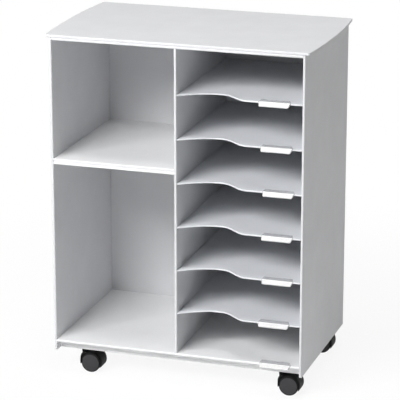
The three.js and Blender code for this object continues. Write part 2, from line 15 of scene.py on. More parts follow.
import bpy
import numpy as np
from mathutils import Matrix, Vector

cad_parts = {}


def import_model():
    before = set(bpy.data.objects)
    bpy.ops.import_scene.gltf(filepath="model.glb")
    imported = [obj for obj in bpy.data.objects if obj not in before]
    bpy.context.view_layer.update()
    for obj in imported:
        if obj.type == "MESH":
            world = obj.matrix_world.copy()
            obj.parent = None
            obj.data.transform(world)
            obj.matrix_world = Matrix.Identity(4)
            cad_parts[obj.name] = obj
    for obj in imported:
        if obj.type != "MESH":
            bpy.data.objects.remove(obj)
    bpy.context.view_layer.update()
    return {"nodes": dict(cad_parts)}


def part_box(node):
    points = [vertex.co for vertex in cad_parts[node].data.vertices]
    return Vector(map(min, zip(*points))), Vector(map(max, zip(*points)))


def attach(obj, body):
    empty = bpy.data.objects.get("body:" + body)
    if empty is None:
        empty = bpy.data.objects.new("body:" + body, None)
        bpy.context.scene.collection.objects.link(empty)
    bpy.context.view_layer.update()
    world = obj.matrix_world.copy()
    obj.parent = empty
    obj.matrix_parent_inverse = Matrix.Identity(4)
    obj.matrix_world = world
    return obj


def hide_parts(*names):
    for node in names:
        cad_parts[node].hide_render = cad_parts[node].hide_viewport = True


LOG = logging.getLogger("office_trolley")
MM = 0.001
SHELF_COUNT = 6
CASTORS = ("front_left", "front_right", "rear_left", "rear_right")
SMOOTH_ANGLE = math.radians(35)
TINY = 1e-6
WHITE = (1.0, 1.0, 1.0, 1.0)

Pair = tuple[float, float]
Triple = tuple[float, float, float]
Socket = bpy.types.NodeSocket
Sockets = bpy.types.NodeOutputs


# Mesh helpers


class Axis(Enum):
    """The axis that a piece is drawn out along or turned about.

    A value says which column of (first, second, along the axis) goes to X, to Y and to Z.
    """

    X = (2, 0, 1)
    Y = (1, 2, 0)
    Z = (0, 1, 2)


def linked(name: str, data: bpy.types.ID) -> bpy.types.Object:
    """Makes an object at the origin and links it to the scene.

    Args:
        name: The object's name.
        data: Its mesh, camera or lamp.

    Returns:
        The object.
    """
    made = bpy.data.objects.new(name, data)
    bpy.context.scene.collection.objects.link(made)
    return made


def mesh_object(name: str, points: np.ndarray, faces: list) -> bpy.types.Object:
    """Makes a smooth-shaded mesh object whose flat faces stay flat.

    Args:
        name: The object's name.
        points: The mesh's points, one row each, in metres.
        faces: Faces as lists of point indices, turned outwards.

    Returns:
        The new object, linked to the scene, at the origin.
    """
    mesh = bpy.data.meshes.new(name)
    mesh.from_pydata(points.tolist(), [], faces)
    mesh.validate()
    mesh.shade_smooth()
    mesh.set_sharp_from_angle(angle=SMOOTH_ANGLE)
    made = linked(name, mesh)
    weights = made.modifiers.new("even_shading", "WEIGHTED_NORMAL")
    weights.keep_sharp = True
    return made


def points_of(mesh: bpy.types.Mesh) -> np.ndarray:
    """A mesh's points.

    Args:
        mesh: The mesh.

    Returns:
        Its points, one row each.
    """
    points = np.empty(len(mesh.vertices) * 3, np.float32)
    mesh.vertices.foreach_get("co", points)
    return points.reshape(-1, 3)


def move_points(mesh: bpy.types.Mesh, points: np.ndarray) -> None:
    """Puts a mesh's points where the rows say."""
    mesh.vertices.foreach_set("co", points.astype(np.float32).ravel())
    mesh.update()


def middle_of(node: str) -> Vector:
    """The middle of a node's box."""
    low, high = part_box(node)
    return (low + high) / 2


def ring_faces(rings: int, points: int) -> list[list[int]]:
    """Quads between neighbouring closed rings.

    Args:
        rings: How many rings there are.
        points: How many points each ring has.

    Returns:
        The quads: point j of ring i with point j + 1, and the same two one ring on.
    """
    i, j = np.meshgrid(np.arange(rings - 1), np.arange(points), indexing="ij")
    near = i * points + j
    far = i * points + (j + 1) % points
    return np.stack([near, far, far + points, near + points], axis=-1).reshape(-1, 4).tolist()


def lidded_faces(rings: int, points: int) -> list[list[int]]:
    """Quads between neighbouring closed rings, with a lid on the first and on the last.

    Args:
        rings: How many rings there are.
        points: How many points each ring has.

    Returns:
        The faces, turned outwards for anticlockwise rings that go up.
    """
    last = (rings - 1) * points
    lids = [list(range(points))[::-1], list(range(last, last + points))]
    return ring_faces(rings, points) + lids


def rounded_outline(corners: list[Triple], steps: int = 8) -> np.ndarray:
    """A closed outline through corners, each cut off by an arc of its own radius.

    Args:
        corners: Corners as (x, y, radius), anticlockwise.
        steps: How many steps each arc has.

    Returns:
        The outline's points. An arc runs about the point that lies its radius away from both
        sides of its corner.
    """
    made = []
    for i, (x, y, radius) in enumerate(corners):
        here = np.array([x, y])
        back = np.array(corners[i - 1][:2]) - here
        ahead = np.array(corners[(i + 1) % len(corners)][:2]) - here
        back /= np.linalg.norm(back)
        ahead /= np.linalg.norm(ahead)
        if radius <= 0:
            made.append(here[None])
            continue
        half = math.acos(float(np.clip(back @ ahead, -1, 1))) / 2
        middle = (back + ahead) / np.linalg.norm(back + ahead)
        centre = here + middle * radius / math.sin(half)
        start = here + back * radius / math.tan(half) - centre
        end = here + ahead * radius / math.tan(half) - centre
        share = np.linspace(0, 1, steps + 1)[:, None]
        chord = start * (1 - share) + end * share
        made.append(centre + chord / np.linalg.norm(chord, axis=1, keepdims=True) * radius)
    return np.concatenate(made)


def rounded_rectangle(low: Vector, high: Vector, radii: tuple[float, ...]) -> np.ndarray:
    """A rectangle with rounded corners.

    Args:
        low: Its lowest corner.
        high: Its highest corner.
        radii: The four corners' radii, anticlockwise from the lowest corner.

    Returns:
        The outline's points.
    """
    places = [(low[0], low[1]), (high[0], low[1]), (high[0], high[1]), (low[0], high[1])]
    return rounded_outline([(x, y, radius) for (x, y), radius in zip(places, radii)])


def outward_offsets(outline: np.ndarray) -> np.ndarray:
    """For each point of an anticlockwise outline, the step that moves both its sides out by one.

    Args:
        outline: The outline's points.

    Returns:
        The sum of the two sides' outward normals over one plus their product.
    """
    side = np.roll(outline, -1, axis=0) - outline
    side /= np.linalg.norm(side, axis=1, keepdims=True)
    after = np.stack([side[:, 1], -side[:, 0]], axis=1)
    before = np.roll(after, 1, axis=0)
    product = np.sum(before * after, axis=1, keepdims=True)
    return (before + after) / (1 + product)


def slab(
    name: str, outline: np.ndarray, low: float, high: float, radius: float | np.ndarray,
    axis: Axis = Axis.Z, steps: int = 5,
) -> bpy.types.Object:
    """A flat piece with rounded edges.

    Args:
        name: The object's name.
        outline: Anticlockwise outline, seen against the axis.
        low: Lowest place along the axis.
        high: Highest place along the axis.
        radius: Edge radius, one for all points of the outline or one for each.
        axis: The axis that the outline is drawn out along.
        steps: How many steps each rounded edge has.

    Returns:
        The piece. Its rings follow a quarter circle up from the lower face, run straight up,
        and follow a quarter circle back to the upper face; a ring at angle a of the quarter is
        drawn in by radius times one minus sin a and lies radius times one minus cos a from its
        face.
    """
    radii = np.broadcast_to(np.asarray(radius, float), (len(outline),))[:, None]
    angle = np.linspace(0, math.pi / 2, steps + 1)[:, None, None]
    rise = radii * (1 - np.cos(angle))
    plan = outline - outward_offsets(outline) * radii * (1 - np.sin(angle))
    lower = np.concatenate([plan, low + rise], axis=2)
    upper = np.concatenate([plan, high - rise], axis=2)[::-1]
    rings = np.concatenate([lower, upper])
    points = rings.reshape(-1, 3)[:, list(axis.value)]
    return mesh_object(name, points, lidded_faces(len(rings), len(outline)))


def turned(
    name: str, profile: np.ndarray, centre: Triple, axis: Axis, steps: int = 72
) -> bpy.types.Object:
    """A turned piece: a profile of (radius, height) points carried round an axis.

    Args:
        name: The object's name.
        profile: From a point on the axis to another on the axis. It runs upwards along the
            piece's outside.
        centre: Where the axis' zero height lies.
        axis: The axis to turn about.
        steps: How many steps the turn has.

    Returns:
        The piece. A point at angle a lies at radius cos a, radius sin a across the axis.
    """
    body = profile[1:-1]
    turn = np.linspace(0, 2 * math.pi, steps, endpoint=False)
    radius = body[:, :1]
    height = np.broadcast_to(body[:, 1:], (len(body), steps))
    rings = np.stack([radius * np.cos(turn), radius * np.sin(turn), height], axis=-1)
    ends = [[0, 0, profile[0, 1]], [0, 0, profile[-1, 1]]]
    points = np.concatenate([rings.reshape(-1, 3), ends])
    bottom, top = len(points) - 2, len(points) - 1
    last = (len(body) - 1) * steps
    faces = ring_faces(len(body), steps)
    faces += [[bottom, (j + 1) % steps, j] for j in range(steps)]
    faces += [[top, last + j, last + (j + 1) % steps] for j in range(steps)]
    return mesh_object(name, points[:, list(axis.value)] + np.array(centre), faces)


# Finishes


class Wiring:
    """Adds nodes to a node tree and joins them."""

    def __init__(self, tree: bpy.types.NodeTree) -> None:
        """Keeps the tree that the nodes go into."""
        self.tree = tree

    def fill(self, node: bpy.types.Node, inputs: dict[str | int, object]) -> None:
        """Sets a node's inputs.

        Args:
            node: The node.
            inputs: Input, by name or number, to what goes in. A socket is linked to it, and
                anything else becomes its value.
        """
        for key, value in inputs.items():
            if isinstance(value, Socket):
                self.tree.links.new(value, node.inputs[key])
            else:
                node.inputs[key].default_value = value

    def add(self, kind: str, inputs: dict[str | int, object], **settings: object) -> bpy.types.Node:
        """Adds a node.

        Args:
            kind: The node's type.
            inputs: What goes into its inputs, as for fill.
            **settings: The node's own settings.

        Returns:
            The node.
        """
        node = self.tree.nodes.new(kind)
        for name, value in settings.items():
            setattr(node, name, value)
        self.fill(node, inputs)
        return node

    def noise(
        self, place: Socket, *, scale: float | Socket, detail: float, roughness: float
    ) -> Socket:
        """Adds a noise texture and gives its value."""
        inputs = {"Vector": place, "Scale": scale, "Detail": detail, "Roughness": roughness}
        return self.add("ShaderNodeTexNoise", inputs).outputs["Fac"]

    def remap(self, value: Socket, *, old: Pair, new: Pair = (0.0, 1.0)) -> Socket:
        """Adds a clamped map of a value from one range to another.

        Args:
            value: The value.
            old: The range that comes in.
            new: The range that goes out.

        Returns:
            The mapped value.
        """
        inputs = {"From Min": old[0], "From Max": old[1], "To Min": new[0], "To Max": new[1]}
        return self.add("ShaderNodeMapRange", {"Value": value, **inputs}).outputs["Result"]

    def combine(self, operation: str, first: Socket, second: Socket) -> Socket:
        """Adds an operation on two values, such as their product or the greater of them."""
        inputs = {0: first, 1: second}
        return self.add("ShaderNodeMath", inputs, operation=operation).outputs["Value"]

    def mix(self, factor: Socket, first: Socket | Triple, second: Socket | Triple) -> Socket:
        """Adds a blend of two colours.

        Args:
            factor: 0 for the first colour and 1 for the second.
            first: The first colour.
            second: The second colour.

        Returns:
            The blended colour.
        """
        colours = [item if isinstance(item, Socket) else (*item, 1.0) for item in (first, second)]
        inputs = {"Factor": factor, "A": colours[0], "B": colours[1]}
        return self.add("ShaderNodeMix", inputs, data_type="RGBA").outputs["Result"]

    def bump(self, height: Socket, distance: float, **under: Socket) -> Socket:
        """Adds a bump, its distance in metres, over another bump if Normal is given."""
        inputs = {"Strength": 1.0, "Distance": distance, "Height": height, **under}
        return self.add("ShaderNodeBump", inputs).outputs["Normal"]

    def effect(self, tree: bpy.types.NodeTree, inputs: dict[str, object]) -> Sockets:
        """Adds a shared node group and gives its outputs by name."""
        return self.add("ShaderNodeGroup", inputs, node_tree=tree).outputs

    def seen_rays(self) -> Socket:
        """Adds a mask of the rays that show a surround.

        Returns:
            1 on camera rays and on rays that are mirrored or let through, and 0 on the others.
        """
        path = self.add("ShaderNodeLightPath", {}).outputs
        mirrored = self.combine("MAXIMUM", path["Is Camera Ray"], path["Is Glossy Ray"])
        return self.combine("MAXIMUM", mirrored, path["Is Transmission Ray"])

    def blend_shaders(self, share: Socket, first: Socket, second: Socket, end: str) -> None:
        """Blends two shaders and feeds the tree's end with them.

        Args:
            share: 0 for the first shader and 1 for the second.
            first: The first shader.
            second: The second shader.
            end: The name of the node that takes the blend.
        """
        mix = self.add("ShaderNodeMixShader", {"Fac": share, 1: first, 2: second})
        self.fill(self.tree.nodes[end], {"Surface": mix.outputs["Shader"]})


def start_group(name: str, values: dict[str, float], outputs: list[str]) -> tuple[Wiring, Sockets]:
    """Starts a node group that takes a place on the object and some values.

    Args:
        name: The group's name.
        values: Its number inputs, with their defaults.
        outputs: The names of the masks and values that it puts out.

    Returns:
        Its wiring, and what comes in, by name.
    """
    group = bpy.data.node_groups.new(name, "ShaderNodeTree")
    group.interface.new_socket("Vector", in_out="INPUT", socket_type="NodeSocketVector")
    for key, value in values.items():
        socket = group.interface.new_socket(key, in_out="INPUT", socket_type="NodeSocketFloat")
        socket.default_value = value
    for key in outputs:
        group.interface.new_socket(key, in_out="OUTPUT", socket_type="NodeSocketFloat")
    wires = Wiring(group)
    return wires, wires.add("NodeGroupInput", {}).outputs


def pebble_group() -> bpy.types.NodeTree:
    """The fine pebbled skin of moulded and rolled plastic, with its slow unevenness.

    Returns:
        A group with Vector and Grain (grains per metre) going in. Height is the fine grain,
        Waviness the sheet's slow rise and fall, and Mottle a slow change from 0 to 1.
    """
    outputs = ["Height", "Waviness", "Mottle"]
    wires, source = start_group("pebbled_skin", {"Grain": 1600.0}, outputs)
    place = source["Vector"]
    fine = wires.noise(place, scale=source["Grain"], detail=3.0, roughness=0.55)
    waves = wires.noise(place, scale=5.0, detail=1.0, roughness=0.4)
    clouds = wires.noise(place, scale=17.0, detail=4.0, roughness=0.6)
    mottle = wires.remap(clouds, old=(0.3, 0.7))
    wires.add("NodeGroupOutput", {"Height": fine, "Waviness": waves, "Mottle": mottle})
    return wires.tree


def scuff_group() -> bpy.types.NodeTree:
    """Thin hairline rubs that lie mostly one way, as papers and hands leave them.

    Returns:
        A group with Vector, Stretch (the lines' squeeze along Y) and Amount going in, and Mask,
        1 on a line, coming out.
    """
    wires, source = start_group("hairline_rubs", {"Stretch": 0.06, "Amount": 0.3}, ["Mask"])
    place = source["Vector"]
    squeeze = wires.add("ShaderNodeCombineXYZ", {"X": 1.0, "Y": source["Stretch"], "Z": 1.0})
    pair = {0: place, 1: squeeze.outputs["Vector"]}
    stretched = wires.add("ShaderNodeVectorMath", pair, operation="MULTIPLY").outputs["Vector"]
    streaks = wires.noise(stretched, scale=420.0, detail=2.0, roughness=0.5)
    clouds = wires.noise(place, scale=9.0, detail=2.0, roughness=0.5)
    lines = wires.remap(streaks, old=(0.66, 0.74))
    patches = wires.remap(clouds, old=(0.48, 0.68))
    rubs = wires.combine("MULTIPLY", lines, patches)
    wires.add("NodeGroupOutput", {"Mask": wires.combine("MULTIPLY", rubs, source["Amount"])})
    return wires.tree


def edge_wear_and_light_group() -> bpy.types.NodeTree:
    """Wear and painted light along edges: where the surface turns within a small radius, broken up by
    noise.

    Returns:
        A group with Vector and Radius (metres) going in. Mask, from 0 to 1, coming out is one
        minus the product of the true and the rounded-off normal, stretched, times the noise.
    """
    # Its mask brings in each finish's edge colour: wear on steel, a painted highlight on the black
    # mouldings and wheels, and painted shade on the white sheets.
    wires, source = start_group("edge_wear_and_painted_light", {"Radius": 1.0 * MM}, ["Mask"])
    rounded = wires.add("ShaderNodeBevel", {"Radius": source["Radius"]}, samples=4)
    surface = wires.add("ShaderNodeNewGeometry", {})
    pair = {0: rounded.outputs["Normal"], 1: surface.outputs["Normal"]}
    product = wires.add("ShaderNodeVectorMath", pair, operation="DOT_PRODUCT").outputs["Value"]
    turned_away = wires.remap(product, old=(0.995, 0.85))
    crumbs = wires.noise(source["Vector"], scale=130.0, detail=4.0, roughness=0.65)
    broken = wires.remap(crumbs, old=(0.35, 0.65), new=(0.5, 1.0))
    wires.add("NodeGroupOutput", {"Mask": wires.combine("MULTIPLY", turned_away, broken)})
    return wires.tree


class SharedEffects:
    """The node groups that several finishes use, each built once."""

    def __init__(self) -> None:
        """Builds the groups."""
        self.pebble = pebble_group()
        self.scuffs = scuff_group()
        self.edges = edge_wear_and_light_group()


@dataclass(frozen=True)
class Finish:
    """A plastic, card or steel finish: its colours, gloss and surface detail."""

    name: str
    slot: str
    colour: Triple
    shade: Triple
    roughness: Pair
    grain: float
    grain_depth: float
    wave_depth: float
    scuffs: float
    metallic: float = 0.0
    specular: float = 0.5
    coat: float = 0.0
    alpha: float = 1.0
    # The edge colour along rounded edges is wear on steel, a painted highlight on the black mouldings
    # and wheels, and painted shade on the white sheets.
    edge: Triple | None = None
    edge_radius: float = 1.2 * MM

    def build(self, effects: SharedEffects) -> bpy.types.Material:
        """Makes the finish's material.

        Args:
            effects: The shared node groups.

        Returns:
            The material. Its colour runs from colour to shade with the mottle and the rubs, and to the
            edge colour along rounded edges, which is wear and painted light there. Its roughness runs
            from the first to the second value, and two bumps give grain and waves.
        """
        material = bpy.data.materials.new(self.name)
        material.use_nodes = True
        wires = Wiring(material.node_tree)
        place = wires.add("ShaderNodeTexCoord", {}).outputs["Object"]
        pebble = wires.effect(effects.pebble, {"Vector": place, "Grain": self.grain})
        scuffs = wires.effect(effects.scuffs, {"Vector": place, "Amount": self.scuffs})
        worn = wires.combine("MAXIMUM", pebble["Mottle"], scuffs["Mask"])
        colour = wires.mix(worn, self.colour, self.shade)
        if self.edge is not None:
            edges = wires.effect(effects.edges, {"Vector": place, "Radius": self.edge_radius})
            colour = wires.mix(edges["Mask"], colour, self.edge)
        colour, alpha = self.cover(wires, place, colour)
        waves = wires.bump(pebble["Waviness"], self.wave_depth)
        grain = wires.bump(pebble["Height"], self.grain_depth, Normal=waves)
        surface = {
            "Base Color": colour,
            "Alpha": alpha,
            "Roughness": wires.remap(worn, old=(0.0, 1.0), new=self.roughness),
            "Normal": grain,
            "Metallic": self.metallic,
            "Specular IOR Level": self.specular,
            "Coat Weight": self.coat,
        }
        wires.fill(wires.tree.nodes["Principled BSDF"], surface)
        return material

    def cover(self, wires: Wiring, place: Socket, colour: Socket) -> tuple[Socket, float | Socket]:
        """The last colour and the alpha; most finishes keep the colour and have one alpha."""
        return colour, self.alpha


@dataclass(frozen=True)
class ClearFinish(Finish):
    """Clear plastic that is greyer and less clear on its flap, where its grey also paints the flap's
    shade on the shelf, and clears towards the card's window.
    """

    window_alpha: float = 0.08
    window_colour: Triple = (0.9, 0.9, 0.905)
    window_depth: float = 1.5 * MM
    blend_depth: float = 1.0 * MM

    def cover(self, wires: Wiring, place: Socket, colour: Socket) -> tuple[Socket, Socket]:
        """Lets the colour and the alpha follow the distance behind the holders' front.

        Args:
            wires: The material's wiring.
            place: Where the surface's place comes from.
            colour: The colour behind the window.

        Returns:
            The colour and the alpha.
        """
        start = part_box("label_holder_1")[0].y + self.window_depth
        depth = (start, start + self.blend_depth)
        behind = wires.add("ShaderNodeSeparateXYZ", {"Vector": place}).outputs["Y"]
        alpha = wires.remap(behind, old=depth, new=(self.window_alpha, self.alpha))
        return wires.mix(wires.remap(behind, old=depth), self.window_colour, colour), alpha


WHITE_SHEET = Finish(
    name="white_sheet_plastic",
    slot="sheet",
    colour=(0.705, 0.71, 0.724),
    shade=(0.68, 0.685, 0.70),
    roughness=(0.42, 0.5),
    grain=1500.0,
    grain_depth=0.03 * MM,
    wave_depth=0.6 * MM,
    scuffs=0.5,
    specular=0.4,
    # Edge colour: painted shade, darker than the sheet, that tones down the highlight on the rounded
    # edges.
    edge=(0.62, 0.622, 0.63),
    edge_radius=1.4 * MM,
)
# A lighter copy of the white sheet for the base panel and the middle shelf, which paints light onto
# these floors; its darker edge colour is painted shade that tones down the highlight on their front
# edges.
FLOOR_SHEET_PAINTED_LIGHT = replace(
    WHITE_SHEET,
    name="floor_sheet_painted_light",
    colour=(0.83, 0.833, 0.84),
    shade=(0.81, 0.813, 0.82),
    edge=(0.67, 0.672, 0.68),
)
# A lighter and slightly bluer copy of the white sheet for the sorting shelves, which paints light onto
# the compartment floors; its darker edge colour is painted shade on their rounded edges.
THIN_SHELF_PAINTED_LIGHT = replace(
    WHITE_SHEET,
    name="thin_shelf_painted_light",
    colour=(0.74, 0.753, 0.78),
    shade=(0.715, 0.728, 0.755),
    edge=(0.66, 0.665, 0.68),
)
# A lighter copy of the white sheet for the tray, which paints light onto its front in the shade under
# the base; its darker edge colour is painted shade on its bevelled edges.
TRAY_SHEET_PAINTED_LIGHT = replace(
    WHITE_SHEET,
    name="tray_sheet_painted_light",
    colour=(0.84, 0.845, 0.85),
    shade=(0.81, 0.815, 0.82),
    edge=(0.79, 0.79, 0.795),
)
BLACK_MOULDING = Finish(
    name="black_moulded_plastic",
    slot="moulding",
    colour=(0.004, 0.004, 0.0045),
    shade=(0.008, 0.008, 0.0085),
    roughness=(0.44, 0.58),
    grain=2600.0,
    grain_depth=0.04 * MM,
    wave_depth=0.1 * MM,
    scuffs=0.8,
    specular=0.08,
    # Edge colour: a painted highlight along the rounded edges, lighter than the black, together with
    # wear.
    edge=(0.024, 0.024, 0.025),
    edge_radius=0.8 * MM,
)
GREY_DISC = Finish(
    name="grey_wheel_disc",
    slot="wheel",
    colour=(0.034, 0.033, 0.036),
    shade=(0.027, 0.026, 0.029),
    roughness=(0.45, 0.58),
    grain=2200.0,
    grain_depth=0.04 * MM,
    wave_depth=0.1 * MM,
    scuffs=0.8,
    specular=0.35,
    # Edge colour: a painted highlight along the wheel's rounded edges, such as the disc's rim and
    # groove, together with wear.
    edge=(0.13, 0.13, 0.135),
    edge_radius=0.7 * MM,
)
BLACK_TYRE = replace(
    GREY_DISC,
    name="black_wheel_tyre",
    colour=(0.008, 0.008, 0.0085),
    shade=(0.012, 0.012, 0.0125),
    roughness=(0.5, 0.62),
    specular=0.15,
    # Edge colour: a painted highlight along the tyre's rounded shoulders, together with wear.
    edge=(0.03, 0.03, 0.031),
)
CLEAR_HOLDER = ClearFinish(
    name="clear_holder_plastic",
    slot="clear_plastic",
    # The flap's grey and its alpha show the clear plastic and also paint in the shade that the flap
    # casts on the shelf.
    colour=(0.70, 0.71, 0.73),
    shade=(0.66, 0.67, 0.69),
    roughness=(0.12, 0.2),
    grain=900.0,
    grain_depth=0.01 * MM,
    wave_depth=0.2 * MM,
    scuffs=0.4,
    coat=0.3,
    alpha=0.36,
)
WHITE_CARD = Finish(
    name="white_label_card",
    slot="card",
    colour=(0.88, 0.88, 0.878),
    shade=(0.85, 0.85, 0.848),
    roughness=(0.75, 0.85),
    grain=3800.0,
    grain_depth=0.02 * MM,
    wave_depth=0.1 * MM,
    scuffs=0.0,
    specular=0.2,
)
PLATED_STEEL = Finish(
    name="plated_steel",
    slot="steel",
    colour=(0.55, 0.55, 0.56),
    shade=(0.45, 0.45, 0.46),
    roughness=(0.22, 0.35),
    grain=3000.0,
    grain_depth=0.02 * MM,
    wave_depth=0.1 * MM,
    scuffs=0.6,
    metallic=1.0,
    edge=(0.66, 0.66, 0.67),
    edge_radius=0.4 * MM,
)


class Wardrobe:
    """Builds each finish once, dresses pieces in it and puts them in their places."""

    def __init__(self) -> None:
        """Prepares the shared effects."""
        self.effects = SharedEffects()
        self.made: dict[str, bpy.types.Material] = {}

    def material(self, finish: Finish) -> bpy.types.Material:
        """The material of a finish, built when it is first asked for.

        Args:
            finish: The finish.

        Returns:
            Its material.
        """
        if finish.name not in self.made:
            self.made[finish.name] = finish.build(self.effects)
        return self.made[finish.name]

    def dress(self, piece: bpy.types.Object, finish: Finish) -> None:
        """Gives a piece, or a node of the frame, one finish all over."""
        piece.data.materials.clear()
        piece.data.materials.append(self.material(finish))

    def install(self, piece: bpy.types.Object, finish: Finish, node: str, body: str) -> None:
        """Dresses a new piece and puts it in the place of a node of the frame.

        Args:
            piece: The new piece.
            finish: Its finish.
            node: The node that it replaces.
            body: The body that it rides on.
        """
        self.dress(piece, finish)
        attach(piece, body)
        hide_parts(node)
        LOG.info("%s stands for %s on %s", piece.name, node, body)

    def add(self, piece: bpy.types.Object, finish: Finish, where: np.ndarray) -> None:
        """Gives some faces of a dressed piece a second finish.

        Args:
            piece: The dressed piece.
            finish: The second finish.
            where: For each face, whether it takes the second finish.
        """
        piece.data.materials.append(self.material(finish))
        piece.data.polygons.foreach_set("material_index", where.astype(np.int32))


# Sub-assemblies


@dataclass
class Carcass:
    """The fixed sheets: sides, divider, back, top panel, loose top board, base and middle shelf."""

    wardrobe: Wardrobe
    front_radius: float = 1.9 * MM
    edge_radius: float = 0.35 * MM
    end_radius: float = 0.0875 * MM
    foot_radius: float = 4.0 * MM
    corner_overhang: float = 8.0 * MM
    corner_radius: float = 6.0 * MM
    corner_steps: int = 12
    bow_steps: int = 64
    board_radius: float = 1.6 * MM
    shelf_front_radius: float = 1.5 * MM
    groove_height: float = 4.0 * MM
    groove_depth: float = 2.5 * MM
    groove_radius: float = 0.5 * MM

    def upright(self, node: str) -> bpy.types.Object:
        """An upright sheet with a rounded front edge.

        Args:
            node: The node that it replaces. The divider ends on the base and under the top
                panel, without the tongues that its node has in their grooves, and has no
                rounded foot.

        Returns:
            The sheet.
        """
        low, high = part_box(node)
        foot = self.foot_radius
        if node == "centre_divider":
            low.z, high.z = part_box("base_panel")[1].z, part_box("top_panel")[0].z
            foot = self.edge_radius
        outline = rounded_rectangle(low.yz, high.yz, (foot, *[self.edge_radius] * 3))
        near_front = np.clip(1 - (outline[:, 0] - low.y) / foot, 0, 1)
        radius = self.edge_radius + (self.front_radius - self.edge_radius) * near_front
        return slab(f"{node}_sheet", outline, low.x, high.x, radius, Axis.X)

    def level(self, node: str) -> bpy.types.Object:
        """A level sheet with a rounded front edge, between the side panels.

        Args:
            node: The node that it replaces.

        Returns:
            The sheet.
        """
        low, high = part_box(node)
        front, edge = self.front_radius, self.edge_radius
        outline = rounded_rectangle(low.yz, high.yz, (front, edge, edge, front))
        return slab(f"{node}_sheet", outline, low.x, high.x, self.end_radius, Axis.X)

    def back(self, node: str) -> bpy.types.Object:
        """The back panel, whose outer upright edges alone are rounded.

        Args:
            node: The node that it replaces.

        Returns:
            The sheet.
        """
        low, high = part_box(node)
        outline = rounded_rectangle(low.xy, high.xy, (0.0, 0.0, self.edge_radius, self.edge_radius))
        return slab(f"{node}_sheet", outline, low.z, high.z, self.edge_radius)

    def board(self, node: str) -> bpy.types.Object:
        """The loose top board: straight front and back, sides bowed out in a flat arc.

        Args:
            node: The node that it replaces.

        Returns:
            The board. Each side is an arc through its two corners and its widest point in the
            middle, and each corner a quadratic curve from the straight edge to that arc.
        """
        low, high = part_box(node)
        half_corner = self.corner_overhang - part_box("left_side_panel")[0].x
        bow = high.x - half_corner
        half_chord = (high.y - low.y) / 2
        radius = (half_chord**2 + bow**2) / (2 * bow)
        turn = math.asin((half_chord - self.corner_radius) / radius)
        angle = np.linspace(-turn, turn, self.bow_steps + 1)
        middle = np.array([half_corner + bow - radius, (low.y + high.y) / 2])
        arc = middle + radius * np.stack([np.cos(angle), np.sin(angle)], axis=1)
        share = np.linspace(0, 1, self.corner_steps + 1)[:, None]
        straight = half_corner - self.corner_radius

        def corner(start: np.ndarray, knee: np.ndarray, end: np.ndarray) -> np.ndarray:
            """A quadratic curve: start, knee and end weighted by squares of the share."""
            return start * (1 - share) ** 2 + knee * 2 * share * (1 - share) + end * share**2

        front = corner(np.array([straight, low.y]), np.array([half_corner, low.y]), arc[0])
        rear = corner(arc[-1], np.array([half_corner, high.y]), np.array([straight, high.y]))
        right = np.concatenate([front[:-1], arc, rear[1:]])
        left = (right * np.array([-1.0, 1.0]))[::-1]
        outline = np.concatenate([right, left])
        return slab(f"{node}_sheet", outline, low.z, high.z, self.board_radius, steps=6)

    def middle_shelf(self, node: str) -> bpy.types.Object:
        """The thick shelf with a shallow groove along its front edge.

        Args:
            node: The node that it replaces.

        Returns:
            The shelf, which ends on the side panel and on the divider, without its tongues.
        """
        low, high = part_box(node)
        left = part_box("left_side_panel")[1].x + self.end_radius
        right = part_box("centre_divider")[0].x - self.end_radius
        middle = (low.z + high.z) / 2
        top, bottom = middle + self.groove_height / 2, middle - self.groove_height / 2
        floor = low.y + self.groove_depth
        front, edge, lip = self.shelf_front_radius, self.edge_radius, self.groove_radius
        outline = rounded_outline(
            [
                (low.y, low.z, front),
                (high.y, low.z, edge),
                (high.y, high.z, edge),
                (low.y, high.z, front),
                (low.y, top, lip),
                (floor, top, lip),
                (floor, bottom, lip),
                (low.y, bottom, lip),
            ],
            steps=6,
        )
        return slab(f"{node}_board", outline, left, right, self.end_radius, Axis.X, steps=3)

    def build(self) -> None:
        """Builds, dresses and places every sheet."""
        pieces = {
            "left_side_panel": (self.upright, WHITE_SHEET),
            "right_side_panel": (self.upright, WHITE_SHEET),
            "centre_divider": (self.upright, WHITE_SHEET),
            "back_panel": (self.back, WHITE_SHEET),
            "top_panel": (self.level, WHITE_SHEET),
            # The base panel and the middle shelf take the lighter copy of the sheet, which paints
            # light onto them.
            "base_panel": (self.level, FLOOR_SHEET_PAINTED_LIGHT),
            "top_board": (self.board, WHITE_SHEET),
            "middle_shelf": (self.middle_shelf, FLOOR_SHEET_PAINTED_LIGHT),
        }
        for node, (make, finish) in pieces.items():
            self.wardrobe.install(make(node), finish, node, "carcass")


